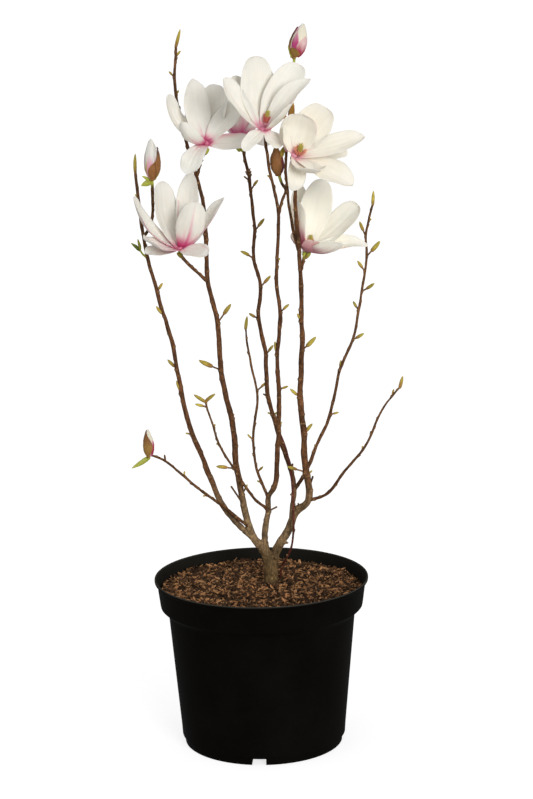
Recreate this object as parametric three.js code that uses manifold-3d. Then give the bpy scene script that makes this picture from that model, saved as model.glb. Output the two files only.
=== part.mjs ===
// A saucer magnolia, Magnolia x soulangeana, in flower in its round nursery pot.
// Millimetres, +Z up, +X to the viewer's right, +Y away from the viewer. The origin is the centre of the
// pot's flat underside. Thin stems rise from a short forked trunk. They carry six open blooms, four flower
// buds and narrow leaf buds, and have no leaves yet apart from a few small ones.
import * as THREE from "three";
import { mergeVertices } from "three/addons/utils/BufferGeometryUtils.js";
import Module from "manifold-3d";

const wasm = await Module();
wasm.setup();

// Driving sizes
const CLEAR = 0.3; // gap between neighbouring pieces
const POT = {
  height: 207.5,
  lipRadius: 130.2,
  lip: 1.6,
  collarTop: 126.9,
  collarFoot: 123.6,
  collarZ: 172.5,
  wallTop: 113.6,
  wallFoot: 101,
  footRadius: 97,
  wall: 2,
  floor: 2.5,
  sides: 32,
};
const DRAIN = { count: 4, turn: -93.7, width: 17, height: 8, inner: 34, cover: 1.8, hole: 6, holeAt: 72 };
const MULCH = { centre: 196, edge: 194, flatRadius: 46, lump: 0.8 };
const TRUNK = { foot: [12, 15], head: [11.5, 14.5, 232], radius: [8.1, 9.3], flare: 1, flareHeight: 6 };
// The height at which each main bough leaves the trunk
const FORKS = { left_inner: 251, centre: 253, right: 250 };
const STEM_SIDES = 6;
const BUD_SIDES = 4;
const STEP = { bough: 30, twig: 30 };
const TEPAL_THICK = 1;
const LEAF_THICK = 0.8;

// Stems. Each is one tapering limb through a few bends, [x, y, z], and leaves the stem named in `on`.
// `crown` is the height at which the bough ends and its twig goes on into the crown. A side bud is [height,
// side, stalk, bud, degrees from the stem]: side -1 is left, 1 is right, and a bud of 0 is a cut stub.
const STEMS = {
  left_inner: {
    radius: [4.7, 1.6],
    crown: 702,
    bends: [
      [11, 14, 214], [5, 12, 234], [-10, 9, 256], [-20, 4, 297], [-28, 0, 350], [-31, -2, 398],
      [-43, -4, 457], [-47, -4, 525], [-58, -6, 580], [-58, 1, 615], [-61, 8, 662], [-80, 23, 738],
      [-92, 37, 800], [-90, 48, 846],
    ],
    buds: [
      [296, -1, 26, 0, 20], [309, 1, 5, 7], [405, 1, 1, 3], [465, -1, 9, 18, 66], [522, 1, 11, 15],
      [628, -1, 5, 0, 25], [790, 1, 1, 4], [810, -1, 3, 6], [833, 1, 2, 7, 30],
    ],
    tip: [5, 3, 20],
  },
  left_outer: {
    on: "left_inner",
    radius: [3.9, 1.8],
    crown: 594,
    bends: [
      [-9, 9, 255], [-25, 8, 268], [-46, 4, 298], [-66, 0, 350], [-84, 0, 399], [-95, 0, 460], [-102, 1, 500],
      [-115, 2, 548], [-131, 6, 615], [-138, 18, 672], [-141, 26, 700],
    ],
    buds: [
      [386, -1, 2, 4, 60], [436, -1, 2, 13, 14], [466, -1, 3, 12], [531, -1, 2, 11, 25], [560, 1, 2, 9, 48],
      [671, -1, 1, 3],
    ],
    tip: [-1, 3, 22],
  },
  low_left: {
    on: "left_inner",
    radius: [2.1, 1.3],
    crown: 367,
    bends: [[-14, 6, 268], [-37, -8, 292], [-77, -40, 332], [-110, -69, 370], [-128, -84, 382]],
    buds: [[318, -1, 1, 3, 60], [346, 1, 1, 5, 50]],
  },
  centre: {
    radius: [3.8, 1.6],
    crown: 662,
    bends: [
      [11, 14, 214], [5, 12, 253], [10, 9, 290], [10, 8, 304], [18, 0, 320], [22, -6, 360], [25, -14, 425],
      [24, -22, 492], [28, -28, 531], [24, -32, 572], [27, -46, 660], [18, -55, 709], [12, -60, 757],
    ],
    buds: [
      [278, -1, 13, 0, 12], [286, 1, 10, 0, 55], [398, 1, 1, 3], [443, 1, 3, 8, 72], [486, -1, 1, 13, 14],
      [538, 1, 4, 9, 50], [600, 1, 1, 3], [700, -1, 1, 3],
    ],
  },
  centre_left: {
    on: "centre",
    radius: [1.9, 1.2],
    crown: 484,
    bends: [[10, 8, 304], [-3, 26, 334], [-7, 42, 368], [-1, 56, 420], [-9, 66, 460], [-14, 79, 500]],
    buds: [[320, -1, 1, 4], [332, 1, 2, 7, 60], [368, -1, 3, 6, 50], [426, 1, 6, 9, 56]],
    tip: [2, 1, 15],
  },
  low_centre: {
    on: "centre",
    radius: [2, 1.1],
    crown: 424,
    bends: [[10, 9, 288], [-7, -3, 306], [-30, -24, 348], [-47, -40, 382], [-53, -50, 405], [-62, -66, 441]],
    buds: [[349, -1, 8, 14, 45], [382, -1, 1, 2], [405, 1, 1, 3], [433, -1, 4, 10, 55], [438, 1, 1, 3]],
  },
  right: {
    radius: [5.2, 1.9],
    crown: 624,
    bends: [
      [12, 15, 214], [19, 14, 236], [34, 11, 262], [43, 7, 285], [58, -3, 301], [59, -6, 318],
      [55, -12, 350], [54, -15, 385], [50, -18, 434], [53, -22, 490], [52, -29, 590], [48, -40, 660],
      [47, -66, 728],
    ],
    buds: [
      [290, -1, 4, 0, 60], [316, 1, 15, 0, 20], [335, 1, 1, 5, 60], [339, -1, 9, 12, 70], [387, 1, 2, 12],
      [412, 1, 1, 2], [433, -1, 2, 11, 50], [491, 1, 5, 16, 48], [526, -1, 1, 8, 30],
    ],
  },
  back: {
    on: "right",
    radius: [3.3, 1.8],
    crown: 634,
    bends: [
      [39, 9, 284], [41, 22, 322], [26, 42, 368], [11, 56, 426], [10, 64, 470], [2, 70, 517], [5, 74, 555],
      [-3, 80, 587], [-1, 84, 620], [-5, 90, 668], [-10, 94, 701], [-17, 94, 733],
    ],
    buds: [
      [330, 1, 9, 0, 20], [395, 1, 2, 4, 60], [398, -1, 2, 3, 60], [419, -1, 5, 0, 50], [469, 1, 4, 10],
      [513, -1, 4, 10, 62], [552, 1, 5, 12, 45], [586, -1, 5, 12, 50], [619, 1, 6, 12, 38],
      [668, 1, 6, 9, 42], [680, -1, 4, 3, 42],
    ],
  },
  right_outer: {
    on: "back",
    radius: [2.4, 1.3],
    crown: 560,
    bends: [
      [40, 19, 308], [56, 24, 330], [69, 32, 359], [87, 42, 398], [100, 52, 451], [117, 60, 490],
      [129, 70, 549], [135, 76, 589], [134, 78, 611], [143, 83, 650],
    ],
    buds: [
      [359, -1, 1, 2], [398, 1, 3, 7, 58], [451, -1, 2, 9, 12], [487, 1, 4, 12, 48], [522, -1, 4, 9, 45],
      [545, 1, 6, 12, 55], [569, -1, 5, 11, 50], [587, 1, 8, 17, 42], [611, -1, 7, 12, 28], [630, 1, 1, 2],
    ],
    tip: [1, 2, 16],
  },
  low_right: {
    on: "right",
    radius: [2.2, 1.1],
    crown: 425,
    bends: [
      [57, -3, 302], [81, -14, 313], [102, -30, 345], [126, -45, 378], [145, -58, 424], [166, -72, 455],
    ],
    buds: [[375, -1, 1, 2, 60], [443, -1, 2, 6, 30]],
    tip: [4, -3, 14],
  },
  basal_shoot: {
    radius: [1.4, 1.1],
    bends: [
      [23, 30, 197.1], [28.7, 17, 220.6], [35, 5, 236], [39, -2, 252], [40.5, -3, 280], [40, 1, 306],
      [38, 12, 333], [33, 16, 361], [25, 18, 383],
    ],
    buds: [[308, -1, 2.4, 0, 70]],
  },
};
const BUD_ANGLE = 42; // usual degrees between a side bud and its stem
const BUD_TURN = 0.6; // radians that a side bud may turn towards the viewer or away
const TIP_RADIUS = 2.1;

// Blooms. `foot` is where the tepals sit, `axis` the way the flower faces, and a tepal is [x, y, z of its tip
// from the foot, width, bow, cup, turn]. Bow bends it outwards by a share of its length, or back where it
// is below 0, cup folds its edges in, and turn rolls it about its own length, in degrees. `stalk` carries a
// bloom that isn't at the end of a stem.
const BLOOMS = {
  upper_left: {
    foot: [-56, -8, 737],
    axis: [-0.1, -0.4, 0.9],
    stalk: { through: [[-67, 13, 697], [-63, 6, 712], [-58, -4, 727], [-56, -8, 737]], radius: [1.7, 2] },
    tepals: [
      [-13, 6, 75, 37, 0.12, 0.3, 25], [13, 24, 66, 37, 0.1, 0.25], [45, 14, 44, 35, -0.04, 0.3, 10],
      [-43, -2, 57, 26, 0.2, 0.35], [-26, -30, 27, 23, 0.2, 0.4, 40], [-21, -30, -34, 29, -0.12, 0.15],
      [53, -14, 3, 25, 0.05, 0.3, 25], [-13, 42, 42, 34, 0.12, 0.3],
    ],
  },
  lower_left: {
    foot: [-88, -30, 617],
    axis: [-0.05, -0.2, 0.98],
    stalk: { through: [[-58, -6, 573], [-72, -14, 588], [-86, -26, 606], [-88, -30, 617]], radius: [1.9, 2] },
    tepals: [
      [-20, 17, 77, 40, 0.12, 0.25, 22], [13, 24, 86, 29, 0.08, 0.25], [20, -14, 56, 36, 0.14, 0.3, -80],
      [51, -4, 60, 26, 0.08, 0.35, 12], [-52, -14, 63, 31, 0.15, 0.35, -8], [-40, -36, 17, 34, 0.1, 0.3, -14],
      [-40, -20, -3, 26, 0.02, 0.3, -16], [32, -34, -2, 29, 0.02, 0.25, 14], [8, 50, 42, 34, 0.14, 0.3],
    ],
  },
  top_centre: {
    foot: [12, -60, 757],
    axis: [0.2, -0.5, 0.84],
    tepals: [
      [-8, 18, 82, 46, 0.1, 0.25], [42, 22, 72, 40, -0.05, 0.25], [53, -6, 58, 27, -0.08, 0.4],
      [32, -24, 31, 24, 0.08, 0.4, -20], [-45, -6, 59, 33, 0.08, 0.35], [-34, 26, 59, 34, 0.1, 0.25],
      [-23, -30, -20, 19, -0.08, 0.2], [18, -11, -20, 23, 0.04, 0.2],
    ],
  },
  back: {
    foot: [-17, 94, 732],
    axis: [-0.1, 0.15, 0.98],
    tepals: [
      [2, -24, 60, 31, 0.16, 0.3], [-22, -8, 46, 25, 0.06, 0.3], [35, -8, 48, 32, 0.12, 0.3],
      [-6, 30, 68, 34, 0.1, 0.3], [36, -12, -8, 30, 0.02, 0.2, 18], [28, 42, 38, 32, 0.12, 0.3],
      [-26, 36, 38, 28, 0.06, 0.25], [4, 54, -6, 28, -0.04, 0.2],
    ],
  },
  right: {
    foot: [47, -66, 728],
    axis: [0.45, -0.62, 0.64],
    tepals: [
      [36, 0, 54, 44, 0.08, 0.25], [9, -14, 47, 46, 0.14, 0.35, -40], [80, -10, 21, 30, 0.02, 0.3],
      [62, 14, 1, 22, 0.04, 0.25], [66, -18, -33, 40, -0.03, 0.2], [28, -42, -13, 38, 0.2, 0.42],
      [-2, -16, -39, 25, -0.1, 0.2], [20, 40, 32, 30, 0.1, 0.3], [-12, -18, 34, 18, 0.1, 0.3],
    ],
  },
  lower_right: {
    foot: [59, -18, 611],
    axis: [0.3, -0.3, 0.9],
    stalk: { through: [[52, -29, 586], [57, -22, 601], [59, -18, 611]], radius: [1.8, 2.1] },
    tepals: [
      [22, 10, 81, 39, 0.09, 0.25], [62, 14, 51, 40, 0.07, 0.25], [73, -8, 7, 23, -0.05, 0.35, 20],
      [40, -34, 12, 28, 0.12, 0.35, -30], [-6, -12, 60, 26, 0.08, 0.35, 40],
      [-16, 8, 18, 21, 0.1, 0.3], [-6, 26, 74, 28, 0.08, 0.25], [26, 50, 28, 32, 0.12, 0.3],
      [9, -20, 13, 24, 0.28, 0.4],
    ],
  },
};
const TEPAL_RING = 3.6; // how far from the flower's axis the tepals are rooted
const CONE = { stamens: [12, 5.5], carpels: [22, 2.6] }; // length and radius

const V = (p) => new THREE.Vector3(...p);
const mix = (a, b, t) => a + (b - a) * t;

// A small seeded generator, so that every build is the same
function seeded(seed) {
  let state = seed;
  return () => {
    state = (state * 16807) % 2147483647;
    return state / 2147483647;
  };
}

// Solids

function solid(geometry) {
  const bare = new THREE.BufferGeometry().setAttribute("position", geometry.getAttribute("position"));
  if (geometry.index) bare.setIndex(geometry.index);
  const merged = mergeVertices(bare, 1e-4);
  return new wasm.Manifold(
    new wasm.Mesh({
      numProp: 3,
      vertProperties: merged.attributes.position.array,
      triVerts: new Uint32Array(merged.index.array),
    }),
  );
}

const fuse = (pieces) => pieces.reduce((all, piece) => all.add(piece));

// A piece with the rooms of its neighbours cut out of it, and no loose scraps
function clear(made, rooms) {
  const bodies = rooms.reduce((left, room) => left.subtract(room), made).decompose();
  return bodies.reduce((best, body) => (body.volume() > best.volume() ? body : best));
}

// The directions to the right of a tangent and towards the viewer from it
function frameAt(along) {
  const depth = Math.abs(along.y) > 0.92 ? V([1, 0, 0]) : V([0, 1, 0]);
  const right = depth.cross(along).normalize();
  return { right, front: right.clone().cross(along) };
}

// A round tube along a curve. A station is [share of the curve's length, radius].
function tube(curve, stations, sides) {
  const shape = new THREE.CylinderGeometry(1, 1, 1, sides, stations.length - 1);
  const place = shape.getAttribute("position");
  for (let i = 0; i < place.count; i++) {
    const [at, radius] = stations[Math.round((place.getY(i) + 0.5) * (stations.length - 1))];
    const { right, front } = frameAt(curve.getTangentAt(at));
    const spot = curve
      .getPointAt(at)
      .addScaledVector(right, place.getX(i) * radius)
      .addScaledVector(front, place.getZ(i) * radius);
    place.setXYZ(i, spot.x, spot.y, spot.z);
  }
  return solid(shape);
}

// A straight spindle, such as a bud, with its radii as shares of its greatest one
function spindle(from, to, radius, shares, sides) {
  const stations = shares.map((share, i) => [i / (shares.length - 1), radius * share]);
  return tube(new THREE.LineCurve3(from, to), stations, sides);
}

// A thin curved blade. `spot` gives a point of it from its share of the length, side from -1 to 1 and share
// of the thickness.
function blade(lengthwise, crosswise, spot) {
  const shape = new THREE.BoxGeometry(1, 2, 1, lengthwise, crosswise, 1);
  const place = shape.getAttribute("position");
  for (let i = 0; i < place.count; i++) {
    const { x, y, z } = spot(place.getX(i) + 0.5, place.getY(i), place.getZ(i));
    place.setXYZ(i, x, y, z);
  }
  return solid(shape);
}

// Stems

for (const stem of Object.values(STEMS)) {
  stem.curve = new THREE.CatmullRomCurve3(stem.bends.map(V), false, "centripetal");
  stem.curve.arcLengthDivisions = 400;
  stem.radiusAt = (at) => mix(...stem.radius, Math.pow(at, 0.75));
}

// The share of a stem's length at which it reaches a height
function shareAt({ curve }, height) {
  let [low, high] = [0, 1];
  for (let i = 0; i < 24; i++) {
    const half = (low + high) / 2;
    if (curve.getPointAt(half).z < height) low = half;
    else high = half;
  }
  return (low + high) / 2;
}

// One stretch of a stem, `extra` thicker than the stem is
function stretch(stem, from, to, step, extra = 0) {
  const steps = Math.ceil((stem.curve.getLength() * (to - from)) / step);
  const shares = Array.from({ length: steps + 1 }, (_, i) => mix(from, to, i / steps));
  return tube(stem.curve, shares.map((at) => [at, stem.radiusAt(at) + extra]), STEM_SIDES);
}

const budRadius = (length) => 1.1 + 0.125 * Math.max(0, length - 5);

// The stub or bud on its stalk that stands at a share of a stem's length
function sideBud(stem, at, turn, [, side, stalk, bud, degrees = BUD_ANGLE]) {
  const along = stem.curve.getTangentAt(at);
  const { right, front } = frameAt(along);
  const angle = THREE.MathUtils.degToRad(degrees);
  const heading = along
    .multiplyScalar(Math.cos(angle))
    .addScaledVector(right, side * Math.cos(turn) * Math.sin(angle))
    .addScaledVector(front, Math.sin(turn) * Math.sin(angle));
  const foot = stem.curve.getPointAt(at);
  const neck = stem.radiusAt(at) * 0.8 + stalk;
  const reach = neck + bud;
  const line = new THREE.LineCurve3(foot, foot.clone().addScaledVector(heading, reach));
  const wide = budRadius(bud);
  const budShape = [
    [0, 0.9], [neck, 0.9], [neck + bud * 0.3, wide], [neck + bud * 0.65, wide * 0.75], [reach, 0.25],
  ];
  const shape = bud ? budShape : [[0, 1.2], [reach, 1.1]];
  return tube(line, shape.map(([length, radius]) => [length / reach, radius]), BUD_SIDES);
}

function sideBuds(name, from, to) {
  const stem = STEMS[name];
  const random = seeded(name.length * 7919 + stem.buds[0][0]);
  return stem.buds.flatMap((bud) => {
    const turn = (random() - 0.5) * 2 * BUD_TURN;
    const at = shareAt(stem, bud[0]);
    return at > from && at < to ? [sideBud(stem, at, turn, bud)] : [];
  });
}

// Where a stem's bough starts and ends, as shares of its length
function boughShares(name) {
  const stem = STEMS[name];
  const from = FORKS[name] ? shareAt(stem, FORKS[name]) + CLEAR / stem.curve.getLength() : 0;
  return [from, stem.crown ? shareAt(stem, stem.crown) : 1];
}

function bough(name) {
  const [from, to] = boughShares(name);
  return fuse([stretch(STEMS[name], from, to, STEP.bough), ...sideBuds(name, from, to)]);
}

// The part of a stem that stands in the crown, with the long leaf bud that ends it
function twig(name) {
  const stem = STEMS[name];
  const from = shareAt(stem, stem.crown) + CLEAR / stem.curve.getLength();
  const pieces = [stretch(stem, from, 1, STEP.twig), ...sideBuds(name, from, 1)];
  if (stem.tip) {
    const end = stem.curve.getPointAt(1);
    const foot = stem.curve.getPointAt(0.995);
    pieces.push(spindle(foot, end.clone().add(V(stem.tip)), TIP_RADIUS, [0.6, 1, 0.75, 0.15], BUD_SIDES + 1));
  }
  return pieces;
}

// The space that a stem keeps from its neighbours
function roomOf(name) {
  const stem = STEMS[name];
  const [from, to] = boughShares(name);
  const lower = stretch(stem, from, to, STEP.bough, CLEAR);
  return to < 1 ? lower.add(stretch(stem, to, 1, STEP.twig, CLEAR)) : lower;
}

// Trunk: from its flat cut on the mulch to the stubs of its three forks
function trunk(extra = 0) {
  const line = new THREE.LineCurve3(V([...TRUNK.foot, MULCH.centre + CLEAR]), V(TRUNK.head));
  const shares = [0, 0.15, 0.4, 0.7, 1];
  const flare = (at) => TRUNK.flare * Math.exp((-at * line.getLength()) / TRUNK.flareHeight);
  const column = tube(line, shares.map((at) => [at, mix(...TRUNK.radius, at) + flare(at) + extra]), 12);
  const stubs = Object.entries(FORKS).map(([name, height]) => {
    const stem = STEMS[name];
    const to = shareAt(stem, height);
    const rings = [0, 0.25, 0.5, 0.75, 1].map((at) => at * to);
    const stations = rings.map((at) => [at, stem.radiusAt(at) * mix(1.3, 1, at / to) + extra]);
    return tube(stem.curve, stations, STEM_SIDES + 2);
  });
  return fuse([column, ...stubs]);
}

// Small parts of the crown

const FLOWER_BUD = [0.55, 0.95, 1, 0.9, 0.66, 0.3, 0.1];
const flowerBud = (from, to, radius) => spindle(V(from), V(to), radius, FLOWER_BUD, 8);
const leafBud = (from, to, radius) => spindle(V(from), V(to), radius, [0.55, 1, 0.8, 0.15], BUD_SIDES + 1);

function wand(through, r0, r1) {
  const curve = new THREE.CatmullRomCurve3(through.map(V), false, "centripetal");
  const steps = Math.max(1, Math.round(curve.getLength() / STEP.twig));
  const shares = Array.from({ length: steps + 1 }, (_, i) => i / steps);
  return tube(curve, shares.map((at) => [at, mix(r0, r1, at)]), STEM_SIDES);
}

function leaf(from, to, width) {
  const along = V(to).sub(V(from));
  const facing = V([0.1, -0.8, 0.6]).projectOnPlane(along.clone().normalize()).normalize();
  const across = facing.clone().cross(along).normalize();
  return blade(3, 2, (at, side, deep) => {
    const half = (width / 2) * (0.16 + 0.84 * Math.sin(Math.PI * Math.pow(at, 0.8)));
    return V(from)
      .addScaledVector(along, at)
      .addScaledVector(across, side * half)
      .addScaledVector(facing, deep * LEAF_THICK + side * side * half * 0.35);
  });
}

// How wide a tepal is at a share of its length: a narrow claw, widest past the middle, and a rounded tip
const CLAW = 0.26;
const WIDEST = 0.56;
function tepalWidth(at) {
  if (at < WIDEST) return mix(CLAW, 1, Math.sin((Math.PI / 2) * (at / WIDEST)));
  const past = (at - WIDEST) / (1 - WIDEST);
  return Math.max(0.12, Math.sqrt(Math.max(0, 1 - Math.pow(past, 2.3))));
}

function tepal(foot, axis, [x, y, z, width, bow, cup, turn = 0]) {
  const tip = foot.clone().add(V([x, y, z]));
  const away = V([x, y, z]).projectOnPlane(axis).normalize();
  const root = foot.clone().addScaledVector(away, TEPAL_RING);
  const chord = tip.sub(root);
  const along = chord.clone().normalize();
  const roll = THREE.MathUtils.degToRad(turn);
  const inward = axis.clone().projectOnPlane(along).applyAxisAngle(along, roll).normalize();
  const across = inward.clone().cross(along);
  return blade(5, 2, (share, side, deep) => {
    const at = 1 - Math.pow(1 - share, 1.4);
    const half = (width / 2) * tepalWidth(at);
    const bulge = -bow * chord.length() * 4 * at * (1 - at);
    return root
      .clone()
      .addScaledVector(chord, at)
      .addScaledVector(across, side * half * (1 - 0.18 * cup))
      .addScaledVector(inward, bulge + cup * half * side * side + deep * TEPAL_THICK);
  });
}

function bloom(name) {
  const { foot, axis, stalk, tepals } = BLOOMS[name];
  const up = V(axis).normalize();
  const start = V(foot);
  const reach = (length) => start.clone().addScaledVector(up, length);
  const [[stamenLength, stamenRadius], [carpelLength, carpelRadius]] = [CONE.stamens, CONE.carpels];
  const pieces = [
    spindle(reach(-3), reach(stamenLength), stamenRadius, [0.7, 1, 0.9, 0.5], 6),
    spindle(reach(stamenLength - 3), reach(carpelLength), carpelRadius, [1, 0.8, 0.15], 5),
    ...tepals.map((each) => tepal(start, up, each)),
  ];
  if (stalk) pieces.push(wand(stalk.through, ...stalk.radius));
  return pieces;
}

// Pot: a turned shell with a lip, a stepped collar and a tapering wall, and drain channels under its floor

const turned = (profile, sides) =>
  new THREE.LatheGeometry(profile.map(([r, z]) => new THREE.Vector2(r, z)), sides).rotateX(Math.PI / 2);

function potShell() {
  const p = POT;
  const wallIn = p.wallFoot - p.wall;
  return solid(
    turned(
      [
        [0, 0], [p.footRadius - 1, 0], [p.footRadius, 2], [p.footRadius + 0.5, 9], [p.wallFoot - 1, 10],
        [p.wallFoot, 22], [p.wallTop, p.collarZ - 10], [p.wallTop + 2, p.collarZ - 5],
        [p.collarFoot - 2, p.collarZ - 1], [p.collarFoot, p.collarZ + 3], [p.collarTop, p.height - 6.5],
        [p.lipRadius - 1, p.height - 4], [p.lipRadius, p.height - 2.6], [p.lipRadius, p.height],
        [p.lipRadius - p.lip, p.height], [p.collarTop - p.wall, p.height - 6],
        [p.collarFoot - p.wall, p.collarZ + 3.5], [p.wallTop - p.wall, p.collarZ - 5],
        [wallIn, 22], [wallIn - 4, p.floor + 3], [wallIn - 7, p.floor], [0, p.floor],
      ],
      p.sides,
    ),
  );
}

function channelBox(turn, [r0, r1], width, [z0, z1]) {
  const box = new THREE.BoxGeometry(r1 - r0, width, z1 - z0);
  box.translate((r0 + r1) / 2, 0, (z0 + z1) / 2);
  return solid(box.rotateZ(turn));
}

const drainTurns = Array.from({ length: DRAIN.count }, (_, i) =>
  THREE.MathUtils.degToRad((360 * i) / DRAIN.count + DRAIN.turn),
);

// The raised roof of each channel, `extra` larger than it is
function drainRoofs(extra = 0) {
  const grow = DRAIN.cover + extra;
  const radii = [DRAIN.inner - grow, POT.footRadius - 1 + extra];
  return drainTurns.map((turn) =>
    channelBox(turn, radii, DRAIN.width + 2 * grow, [POT.floor / 2, DRAIN.height + grow]),
  );
}

function drainCuts() {
  return drainTurns.flatMap((turn) => {
    const hole = new THREE.CylinderGeometry(DRAIN.hole, DRAIN.hole, 12, 12).rotateX(Math.PI / 2);
    hole.translate(DRAIN.holeAt, 0, DRAIN.height + 1);
    return [
      channelBox(turn, [DRAIN.inner, POT.lipRadius], DRAIN.width, [-2, DRAIN.height]),
      solid(hole.rotateZ(turn)),
    ];
  });
}

// Bark mulch, with the root ball under it, which fills the pot
function mulch() {
  const p = POT;
  const gap = p.wall + 2 * CLEAR;
  const rim = mix(p.collarFoot, p.collarTop, (MULCH.edge - p.collarZ) / (p.height - p.collarZ)) - gap - 1;
  const rings = [MULCH.flatRadius, 64, 80, 96, 110, rim];
  const heightAt = (i) => mix(MULCH.centre, MULCH.edge, Math.pow(i / (rings.length - 1), 1.5));
  const surface = rings.map((r, i) => [r, heightAt(i)]);
  const shape = turned(
    [
      [0, p.floor + CLEAR], [p.wallFoot - gap - 8, p.floor + CLEAR], [p.wallFoot - gap - 0.5, 22],
      [p.wallTop - gap, p.collarZ - 5.5], [p.collarFoot - gap, p.collarZ + 4], ...surface.reverse(),
      [0, MULCH.centre],
    ],
    p.sides,
  );
  const place = shape.getAttribute("position");
  for (let i = 0; i < place.count; i++) {
    const radius = Math.hypot(place.getX(i), place.getY(i));
    const inRings = place.getZ(i) > p.collarZ + 5 && radius > MULCH.flatRadius + 4 && radius < rim - 4;
    if (!inRings) continue;
    const turn = Math.atan2(place.getY(i), Math.abs(place.getX(i)) < 1e-6 ? 0 : place.getX(i));
    const lump = Math.sin(turn * 7 + radius * 0.3) + Math.cos(turn * 4 - radius * 0.2);
    place.setZ(i, place.getZ(i) + MULCH.lump * lump);
  }
  return drainRoofs(CLEAR).reduce((left, roof) => left.subtract(roof), solid(shape));
}

// Nodes

const rooms = { trunk: trunk(CLEAR) };
for (const name of Object.keys(STEMS)) rooms[name] = roomOf(name);

const nodes = new Map();
nodes.set("pot", drainCuts().reduce((left, cut) => left.subtract(cut), fuse([potShell(), ...drainRoofs()])));
nodes.set("mulch", mulch());
nodes.set("trunk", trunk());
for (const [name, stem] of Object.entries(STEMS)) {
  const label = name === "basal_shoot" ? name : `bough_${name}`;
  nodes.set(label, clear(bough(name), stem.on ? [rooms.trunk, rooms[stem.on]] : []));
}

// The crown's masses: twigs with what is fused to them, and the stems that they keep clear of
const CROWN = {
  leader_left: [[], () => twig("left_inner")],
  bloom_upper_left: [["left_inner"], () => bloom("upper_left")],
  bloom_lower_left: [["left_inner"], () => bloom("lower_left")],
  twigs_left_outer: [
    [],
    () => [
      ...twig("left_outer"),
      wand([[-132, 6, 626], [-123, 0, 641], [-120, -2, 670], [-120, -2, 698]], 1.7, 1.9),
      flowerBud([-120, -2, 696], [-120.5, -2, 743], 8.6),
      leaf([-120, -3, 692], [-133, -8, 688], 8),
      leaf([-120, -3, 692], [-132, -4, 699], 4.5),
      wand([[-128, 4, 600], [-134, 2, 606], [-137, 0, 612]], 1.2, 1),
      leaf([-136, 1, 609], [-148, -2, 621], 5),
      leaf([-136, 1, 610], [-139, -2, 627], 4.5),
    ],
  ],
  bud_low_left: [
    [],
    () => [
      ...twig("low_left"),
      flowerBud([-128, -84, 380], [-129, -86, 413], 5.8),
      leaf([-127, -84, 378], [-149, -90, 367], 6),
      leaf([-127, -84, 379], [-137, -84, 376], 3.5),
      wand([[-110, -69, 369], [-111, -70, 378]], 1.2, 1.1),
    ],
  ],
  bloom_top_centre: [[], () => [...twig("centre"), ...bloom("top_centre")]],
  bud_centre: [
    ["centre"],
    () => [
      wand([[28, -46, 656], [33, -43, 675], [36, -42, 684], [31, -48, 694], [28, -50, 706]], 1.3, 1.9),
      flowerBud([28, -50, 704], [25, -53, 739], 7.6),
    ],
  ],
  twig_centre_left: [[], () => twig("centre_left")],
  twig_low_centre: [
    [],
    () => [
      ...twig("low_centre"),
      leafBud([-62, -66, 440], [-75, -68, 449], 2.2),
      leafBud([-62, -66, 440], [-51, -67, 451], 2.2),
    ],
  ],
  bloom_right: [[], () => [...twig("right"), ...bloom("right")]],
  bloom_lower_right: [["right"], () => bloom("lower_right")],
  leader_top: [
    ["right"],
    () => [
      wand(
        [[50, -31, 612], [42, -24, 650], [38, -14, 690], [39, -3, 740], [45, 8, 784], [50, 14, 836]],
        1.7,
        1.6,
      ),
      flowerBud([50, 14, 834], [61, 16, 873], 9.5),
      wand([[42, 3, 762], [46, -5, 767], [48, -8, 770]], 1.1, 1),
      leafBud([48, -8, 768], [48, -9, 783], 3.2),
      leafBud([41, 1, 756], [38, -9, 766], 2),
      leaf([49, 13, 830], [42, 10, 846], 5),
    ],
  ],
  bloom_back: [[], () => [...twig("back"), ...bloom("back")]],
  twig_right_outer: [[], () => twig("right_outer")],
  twig_low_right: [[], () => twig("low_right")],
};
for (const [name, [neighbours, pieces]] of Object.entries(CROWN)) {
  nodes.set(name, clear(fuse(pieces()), neighbours.map((each) => rooms[each])));
}

// Materials, and one mesh for each node

const finish = (color, roughness) => new THREE.MeshStandardMaterial({ color, roughness, metalness: 0 });
const FINISHES = [
  [/^pot$/, finish("#16140f", 0.55)],
  [/^mulch$/, finish("#5b3a22", 0.95)],
  [/^trunk$/, finish("#75603f", 0.85)],
  [/^bloom/, finish("#efebe0", 0.6)],
  [/^(bud|leader|twig)/, finish("#b9a24a", 0.7)],
  [/./, finish("#54321f", 0.75)],
];

function meshOf(name, made) {
  const { vertProperties, triVerts } = made.getMesh();
  const geometry = new THREE.BufferGeometry()
    .setAttribute("position", new THREE.BufferAttribute(vertProperties, 3))
    .setIndex(new THREE.BufferAttribute(triVerts, 1));
  geometry.computeVertexNormals();
  const mesh = new THREE.Mesh(geometry, FINISHES.find(([pattern]) => pattern.test(name))[1]);
  mesh.name = name;
  return mesh;
}

const plant = new THREE.Group();
for (const [name, made] of nodes) plant.add(meshOf(name, made));

export default plant;
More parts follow.
